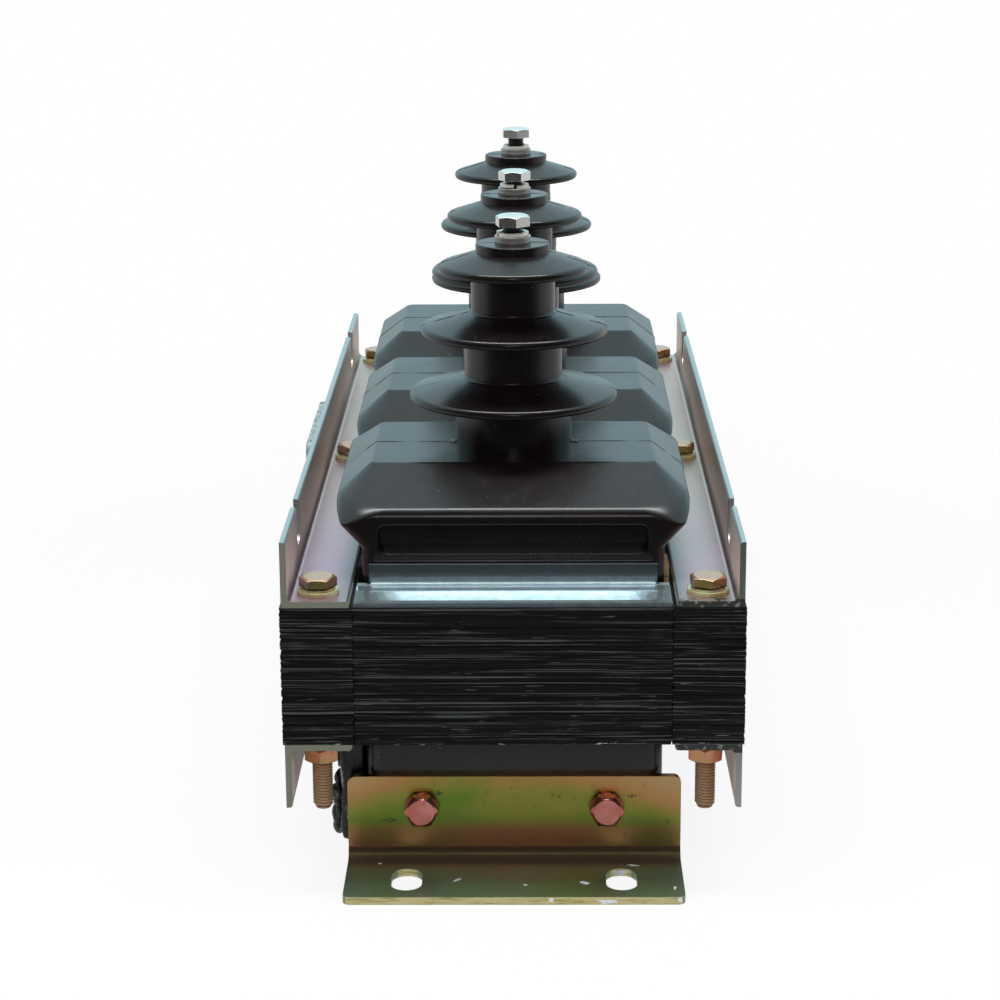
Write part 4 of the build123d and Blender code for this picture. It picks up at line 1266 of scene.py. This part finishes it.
class TRANSFORMER_OT_terminals(bpy.types.Operator):
    """Make the bolts and washers on the bushings"""

    bl_idname = "transformer.terminals"
    bl_label = "High-voltage terminals"

    head_turns = (-78.6, -65.4, -86.0)
    split_turns = (205.0, 275.0, 160.0)

    def execute(self, context):
        settings = context.scene.transformer
        sizes = settings.fastener
        colours = settings.colours
        steel = make_steel("bright_steel", colours.steel, colours.steel_marks, 0.22)
        dull = make_steel("dull_steel", colours.dull_steel, colours.dull_marks, 0.30, 0.75)
        spring = make_steel("spring_steel", colours.spring, colours.spring_marks, 0.25, 0.4)
        # The terminals' threads are painted dark: a painted shadow under the heads.
        thread = make_thread("steel_thread", colours.steel_lit_flank, colours.steel_shaded_flank)
        for phase, turn in zip(PHASES, self.head_turns):
            node = f"terminal_bolt_{phase}"
            bm = cad_copy(node, sizes.edge)
            turn_islands(bm, "Z", [turn])
            top = middle_of(node)
            top.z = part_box(node)[1].z - sizes.terminal_head
            cut_below(bm, top.z - sizes.edge)
            known = set(bm.faces)
            add_thread(bm, top, 4 * sizes.pitch + sizes.stud_chamfer, sizes.shank, sizes)
            for face in bm.faces:
                face.material_index = int(face not in known)
            keep_piece(bm, f"dressed_{node}", [steel, thread], [node])
        for node in ("terminal_lower_washers", "terminal_upper_washers"):
            dress_node(node, sizes.edge, dull)
        node = "terminal_spring_washers"
        bm = bmesh.new()
        for box, facing in zip(solids_of(node), self.split_turns):
            add_split_washer(bm, *box, sizes.terminal_bore, sizes, math.radians(facing))
        keep_piece(bm, f"dressed_{node}", [spring], [node])
        return {"FINISHED"}


def dress_angle(node, sizes, zinc):
    """A clamp angle with a rounded root and soft edges."""
    low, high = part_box(node)
    most = 0.9 * (high.y - low.y)
    bm = cad_copy(node)
    bm.normal_update()
    root = [edge for edge in bm.edges if not edge.is_convex and edge.calc_length() > most]
    round_off(bm, [edge for edge in root if is_sharp(edge, 60.0)], sizes.angle_root, 6)
    finish_edges(bm, sizes.angle_edge)
    keep_piece(bm, f"dressed_{node}", [zinc], [node])


def make_clamp_zincs(colours, reaches, head_seat):
    """Zinc of the clamp bolts, of their washers and of their nuts."""
    gold_stops = [
        (0.35, colours.olive),
        (0.48, colours.gold),
        (0.60, colours.gold),
        (0.72, colours.salmon),
    ]
    # Side colours are painted light and shade by the way each face turns; the russet paints shade on the
    # right-hand faces.
    side_light_stops = [
        (0.08, colours.zinc_lilac),
        (0.28, colours.gold),
        (0.46, colours.olive),
        (0.62, colours.gold),
        (0.88, colours.shaded_side_russet),
    ]
    ring_stops = [(0.40, colours.washer), (0.55, colours.gold), (0.70, colours.washer)]
    rose_stops = [(0.35, colours.gold), (0.48, colours.copper), (0.66, colours.rose)]
    # The pale gold on faces turned up is a painted highlight.
    gold = make_yellow_zinc(
        "gold_zinc", colours, reaches, gold_stops, colours.lit_top_gold, side_light_stops, head_seat, 0.8
    )
    # The washers' faces turned up are painted in their paler green: a painted highlight.
    ring = make_yellow_zinc("green_zinc", colours, reaches, ring_stops, colours.washer, metal=0.35)
    rose = make_yellow_zinc("rose_zinc", colours, reaches, rose_stops)
    return gold, ring, rose


class TRANSFORMER_OT_clamps(bpy.types.Operator):
    """Make the clamp angles with their bolts, washers and nuts"""

    bl_idname = "transformer.clamps"
    bl_label = "Clamps"

    head_turns = {"left": (0.0, 20.0, 40.0), "right": (-22.0, 10.0, 35.0)}
    nut_turns = (28.0, 24.0, 10.0, 40.0, 18.0, 5.0)
    split_turn = 200.0

    def execute(self, context):
        settings = context.scene.transformer
        sizes = settings.fastener
        colours, reaches = settings.colours, settings.reaches
        core_low, core_high = [corner.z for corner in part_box("core_yoke_left")]
        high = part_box("upper_clamp_angle_left")[1]
        zinc = make_zinc(colours, reaches, high.y, core_low, core_high, high.z, abs(high.x))
        for level in ("upper", "lower"):
            for side in SIDES:
                dress_angle(f"{level}_clamp_angle_{side}", settings.sheet, zinc)
        gold, ring, rose = make_clamp_zincs(colours, reaches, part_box("clamp_spring_washers")[1].z)
        thread = make_thread("thread_zinc", colours.zinc_lit_flank, colours.zinc_shaded_flank)
        nut_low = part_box("clamp_nuts")[0].z
        for side in SIDES:
            node = f"clamp_bolts_{side}"
            bm = cad_copy(node, sizes.edge)
            turn_islands(bm, "Z", self.head_turns[side])
            cut_below(bm, nut_low)
            keep_piece(bm, f"dressed_{node}", [gold], [node])
            studs = bmesh.new()
            for low, high in solids_of(node):
                top = Vector(((low.x + high.x) / 2, (low.y + high.y) / 2, nut_low + sizes.pitch))
                add_thread(studs, top, top.z - low.z, sizes.shank, sizes)
            keep_piece(studs, f"threads_{node}", [thread], [])
        for node in ("clamp_flat_washers", "clamp_lower_washers"):
            dress_node(node, sizes.edge, ring)
        node = "clamp_spring_washers"
        bm = bmesh.new()
        for box in solids_of(node):
            add_split_washer(bm, *box, sizes.clamp_bore, sizes, math.radians(self.split_turn))
        keep_piece(bm, f"dressed_{node}", [ring], [node])
        bm = cad_copy("clamp_nuts", sizes.edge)
        turn_islands(bm, "Z", self.nut_turns)
        keep_piece(bm, "dressed_clamp_nuts", [rose], ["clamp_nuts"])
        return {"FINISHED"}


def add_flake(bm, place, long, wide, thick, dice, index):
    """One flake of paint: a ragged disc with a little thickness, raised along its place's own Z."""
    scaled = place @ Matrix.Diagonal((long, wide, 1.0, 1.0))
    ring = bmesh.ops.create_circle(bm, cap_ends=True, segments=14, radius=0.5, matrix=scaled)
    spot = place.translation
    for vert in ring["verts"]:
        vert.co = spot + (vert.co - spot) * dice.uniform(0.6, 1.1)
    faces = list({face for vert in ring["verts"] for face in vert.link_faces})
    solid = bmesh.ops.extrude_face_region(bm, geom=faces, use_keep_orig=True)["geom"]
    raised = [item for item in solid if isinstance(item, bmesh.types.BMVert)]
    bmesh.ops.translate(bm, verts=raised, vec=place.to_3x3() @ Vector((0, 0, thick)))
    paint_faces([*ring["verts"], *raised], index)


def add_chips(bm, low, sizes, index):
    """Flakes of pale paint on the front foot's flat leg, its toe and the far wall of its right slot."""
    dice = random.Random(11)
    leg_top = low.z + sizes.foot_thick
    leg_sunk, upright_sunk = sizes.chip * 0.3, sizes.chip * 0.95
    for across, back, long, wide, degrees in LEG_FLAKES:
        spot = Matrix.Translation((across, low.y + back, leg_top - leg_sunk))
        turn = Matrix.Rotation(math.radians(degrees), 4, "Z")
        add_flake(bm, spot @ turn, long, wide, sizes.chip, dice, index)
    for across, back, level, long, tall in UPRIGHT_FLAKES:
        spot = Matrix.Translation((across, low.y + back + upright_sunk, low.z + level))
        turn = Matrix.Rotation(math.pi / 2, 4, "X")
        add_flake(bm, spot @ turn, long, tall, sizes.chip, dice, index)


class TRANSFORMER_OT_feet(bpy.types.Operator):
    """Make the feet with their bolts, and the brackets on the end limbs"""

    bl_idname = "transformer.feet"
    bl_label = "Feet and brackets"

    def execute(self, context):
        settings = context.scene.transformer
        sizes = settings.sheet
        colours, reaches = settings.colours, settings.reaches
        low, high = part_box("foot_front")
        shin = abs(high.y) + sizes.foot_thick
        zinc = make_foot_zinc(colours, reaches, high.z - low.z, high.x, sizes.foot_thick, shin)
        paint = make_plain("pale_paint", colours.chip, colours.chip_dull, 300.0, 0.5, 0.2)
        bolt_stops = [(0.35, colours.foot_bolt), (0.5, colours.foot_bolt_red), (0.7, colours.foot_bolt_pink)]
        copper = make_yellow_zinc("copper_zinc", colours, reaches, bolt_stops)
        outer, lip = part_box("limb_bracket_front")
        core_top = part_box("core_yoke_left")[1].z
        sheet = make_galvanised(colours, reaches, sizes, abs(lip.y), abs(outer.y), core_top, lip.z)
        for end in ENDS:
            bm = cad_copy(f"foot_{end}", sizes.foot_edge)
            if end == "front":
                add_chips(bm, low, sizes, 1)
            keep_piece(bm, f"dressed_foot_{end}", [zinc, paint], [f"foot_{end}"])
            for kind in ("bolts", "washers"):
                dress_node(f"foot_{kind}_{end}", settings.fastener.edge, copper)
            dress_node(f"limb_bracket_{end}", sizes.bracket_edge, sheet)
        return {"FINISHED"}


def make_compound(colours):
    """Black sealing compound with pale wear."""
    finish = Finish("sealing_compound", Specular_IOR_Level=0.5)
    worn = finish.rise(finish.grain(1.0, 5.0, 0.7, stretch=(260.0, 260.0, 90.0)), 0.56, 0.64)
    base = finish.mix(colours.varnish, colours.chip, worn * 0.45)
    finish.bump(finish.grain(300.0, 4.0), 0.5, 0.0006)
    return finish.dress(Base_Color=base, Roughness=0.32 + 0.3 * worn)


def add_compound(bm, low, high, lump, seed):
    """A strip of sealing compound in a box, with lumps down its left face."""
    place = Matrix.Translation((low + high) / 2) @ Matrix.Diagonal((*(high - low), 1.0))
    bmesh.ops.create_cube(bm, size=1.0, matrix=place)
    finish_edges(bm, lump * 0.4, 3)
    bmesh.ops.subdivide_edges(bm, edges=bm.edges, cuts=9, use_grid_fill=True)
    dice = random.Random(seed)
    step_share, proud_share, relief_share = 0.075, 0.35, 0.22
    for step in range(7):
        radius = lump * dice.uniform(0.6, 1.0)
        level = low.z + radius + (high.z - low.z) * step_share * step
        spot = Vector((low.x - radius * proud_share, dice.uniform(low.y + lump, high.y - lump), level))
        stretched = Matrix.Diagonal((0.8, 1.0, dice.uniform(0.9, 1.4), 1.0))
        place = Matrix.Translation(spot) @ stretched
        bmesh.ops.create_icosphere(bm, subdivisions=4, radius=radius, matrix=place)
    bm.normal_update()
    relief = lump * relief_share
    moves = [(vert, vert.normal * noise.noise(vert.co / lump * 0.9) * relief) for vert in bm.verts]
    for vert, move in moves:
        vert.co += move


class TRANSFORMER_OT_sides(bpy.types.Operator):
    """Make the terminal blocks, sealing compound, packing strips and bare plate beside the castings"""

    bl_idname = "transformer.sides"
    bl_label = "Blocks, packing and plate"

    def execute(self, context):
        settings = context.scene.transformer
        colours = settings.colours
        sizes = settings.sheet
        board = make_packing(colours)
        moulding = make_plain("dark_moulding", colours.block, colours.block_worn, 160.0, 0.45, 0.3)
        steel = make_plain("screw_steel", colours.screw, colours.screw_dark, 300.0, 0.4, 0.2)
        plate = make_plain("pale_plate", colours.plate, colours.plate_dark, 180.0, 0.45, 0.25)
        for side in SIDES:
            dress_node(f"packing_strips_{side}", sizes.packing_edge, board)
        for phase in PHASES:
            dress_node(f"secondary_block_{phase}", sizes.block_edge, moulding)
            dress_node(f"secondary_screws_{phase}", settings.fastener.edge, steel)
        bm = bmesh.new()
        casting_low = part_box("casting_front")[0]
        low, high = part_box("secondary_block_front")
        inset = sizes.compound_inset
        strip_low = Vector((low.x - sizes.compound_proud, casting_low.y + sizes.compound_gap, casting_low.z))
        strip_high = Vector((high.x - inset, low.y - inset, high.z))
        add_compound(bm, strip_low, strip_high, sizes.lump, 5)
        keep_piece(bm, "sealing_compound", [make_compound(colours)], [])
        dress_node("bare_plate", sizes.plate_edge, plate)
        return {"FINISHED"}


def add_softbox(name, spot, target, width, height, power, gloss):
    """A rectangular studio light that looks at a point; gloss says if it shows in reflections."""
    lamp = bpy.data.lights.new(name, "AREA")
    lamp.shape = "RECTANGLE"
    lamp.size = width
    lamp.size_y = height
    lamp.energy = power
    holder = bpy.data.objects.new(name, lamp)
    holder.location = spot
    holder.rotation_mode = "QUATERNION"
    holder.rotation_quaternion = (Vector(target) - Vector(spot)).to_track_quat("-Z", "Y")
    holder.visible_glossy = gloss
    bpy.context.scene.collection.objects.link(holder)


def ray_kinds(shader, *kinds):
    """Which kinds of ray meet the shader."""
    return [shader.node("ShaderNodeLightPath", output=f"Is {kind} Ray") for kind in kinds]


def light_world(stage):
    """Plain light all round; the gloss sees a white room behind the object and a dim one before it."""
    world = bpy.data.worlds.new("studio_room")
    bpy.context.scene.world = world
    world.use_nodes = True
    room = Shader(world.node_tree)
    camera, glossy, clear = ray_kinds(room, "Camera", "Glossy", "Transmission")
    way = room.node("ShaderNodeTexCoord", output="Generated")
    along, height = [room.node("ShaderNodeSeparateXYZ", inputs={0: way}, output=axis) for axis in (1, 2)]
    behind = room.rise(along + 0.6 * height, -0.08, 0.42)
    back = room.mix(stage.low_room, stage.room, room.rise(height, 0.35, 0.80))
    shown = room.mix((stage.dim_side,) * 3, back, behind)
    seen = room.mix((stage.ambient,) * 3, shown, glossy + clear)
    seen = room.mix(seen, (1.0, 1.0, 1.0), camera)
    room.feed(world.node_tree.nodes["Background"].inputs["Color"], seen)


def make_floor(stage):
    """White paper that keeps a soft shadow; the gloss sees it dim beyond the front of the stage."""
    paper = Finish("floor_paper", Roughness=0.9, Specular_IOR_Level=0.0)
    paper.dress(Base_Color=paper.mix(stage.floor, stage.floor_dull, paper.grain(3.0)))
    camera, glossy = ray_kinds(paper, "Camera", "Glossy")
    far = paper.rise(abs(paper.x) + abs(paper.y), stage.shadow_near, stage.shadow_far)
    beside = paper.rise(abs(paper.x), stage.card_half, stage.card_edge)
    card = (1.0 - beside) * (1.0 - paper.rise(paper.y, -stage.card_far, -stage.card_near))
    front = 1.0 - paper.rise(paper.y, -stage.front_far, -stage.front_near) * (1.0 - card)
    shown = paper.mix((stage.near_floor,) * 3, (stage.dim_side,) * 3, front)
    gloss = paper.node("ShaderNodeEmission", inputs={"Color": shown, "Strength": 1.0})
    white = paper.node("ShaderNodeEmission", inputs={"Color": (1.0, 1.0, 1.0, 1.0), "Strength": 1.0})
    body = Value(paper, paper.surface.outputs[0])
    lit = paper.node("ShaderNodeMixShader", inputs={0: glossy, 1: body, 2: gloss})
    lift = camera * (stage.floor_lift + (1.0 - stage.floor_lift) * far)
    mixed = paper.node("ShaderNodeMixShader", inputs={0: lift, 1: lit, 2: white})
    paper.feed(paper.tree.nodes["Material Output"].inputs["Surface"], mixed)
    return paper


class TRANSFORMER_OT_stage(bpy.types.Operator):
    """Set out the floor, the lights and the camera"""

    bl_idname = "transformer.stage"
    bl_label = "Stage"

    def execute(self, context):
        scene = context.scene
        stage = scene.transformer.stage
        scene.view_settings.view_transform = "Standard"
        light_world(stage)
        bm = bmesh.new()
        bmesh.ops.create_grid(bm, x_segments=1, y_segments=1, size=stage.floor_size / 2)
        mesh = bpy.data.meshes.new("studio_floor")
        bm.to_mesh(mesh)
        bm.free()
        floor = bpy.data.objects.new("studio_floor", mesh)
        scene.collection.objects.link(floor)
        mesh.materials.append(make_floor(stage).material)
        for softbox in SOFTBOXES:
            add_softbox(*softbox)
        camera = bpy.data.objects.new("photo_camera", bpy.data.cameras.new("photo_camera"))
        camera.data.lens = stage.lens
        camera.data.sensor_width = stage.sensor
        camera.data.clip_start = stage.clip
        camera.location = (stage.camera_x, stage.camera_y, stage.camera_z)
        ahead = Vector(
            (
                -math.sin(stage.yaw) * math.cos(stage.pitch),
                math.cos(stage.yaw) * math.cos(stage.pitch),
                -math.sin(stage.pitch),
            )
        )
        camera.rotation_mode = "QUATERNION"
        lean = Matrix.Rotation(stage.roll, 3, "Z").to_quaternion()
        camera.rotation_quaternion = ahead.to_track_quat("-Z", "Y") @ lean
        scene.collection.objects.link(camera)
        scene.camera = camera
        return {"FINISHED"}


OPERATORS = (
    TRANSFORMER_OT_castings,
    TRANSFORMER_OT_core,
    TRANSFORMER_OT_terminals,
    TRANSFORMER_OT_clamps,
    TRANSFORMER_OT_feet,
    TRANSFORMER_OT_sides,
    TRANSFORMER_OT_stage,
)


class TRANSFORMER_PT_panel(bpy.types.Panel):
    """Lists the steps that dress the transformer"""

    bl_idname = "TRANSFORMER_PT_panel"
    bl_label = "Voltage transformer"
    bl_space_type = "VIEW_3D"
    bl_region_type = "UI"
    bl_category = "Transformer"

    def draw(self, context):
        for operator in OPERATORS:
            self.layout.operator(operator.bl_idname)


CLASSES = (
    CastingSizes,
    BushingSizes,
    CoreSizes,
    FastenerSizes,
    SheetSizes,
    FilmReaches,
    FinishColours,
    StageSettings,
    TransformerSettings,
    *OPERATORS,
    TRANSFORMER_PT_panel,
)


def register():
    """Make the classes known to Blender."""
    for cls in CLASSES:
        bpy.utils.register_class(cls)
    bpy.types.Scene.transformer = PointerProperty(type=TransformerSettings)


def unregister():
    """Take the classes away again."""
    del bpy.types.Scene.transformer
    for cls in reversed(CLASSES):
        bpy.utils.unregister_class(cls)


def main():
    """Register the settings, dress the part and set the stage."""
    register()
    bpy.ops.transformer.castings()
    bpy.ops.transformer.core()
    bpy.ops.transformer.terminals()
    bpy.ops.transformer.clamps()
    bpy.ops.transformer.feet()
    bpy.ops.transformer.sides()
    bpy.ops.transformer.stage()


if __name__ == "__main__":
    main()
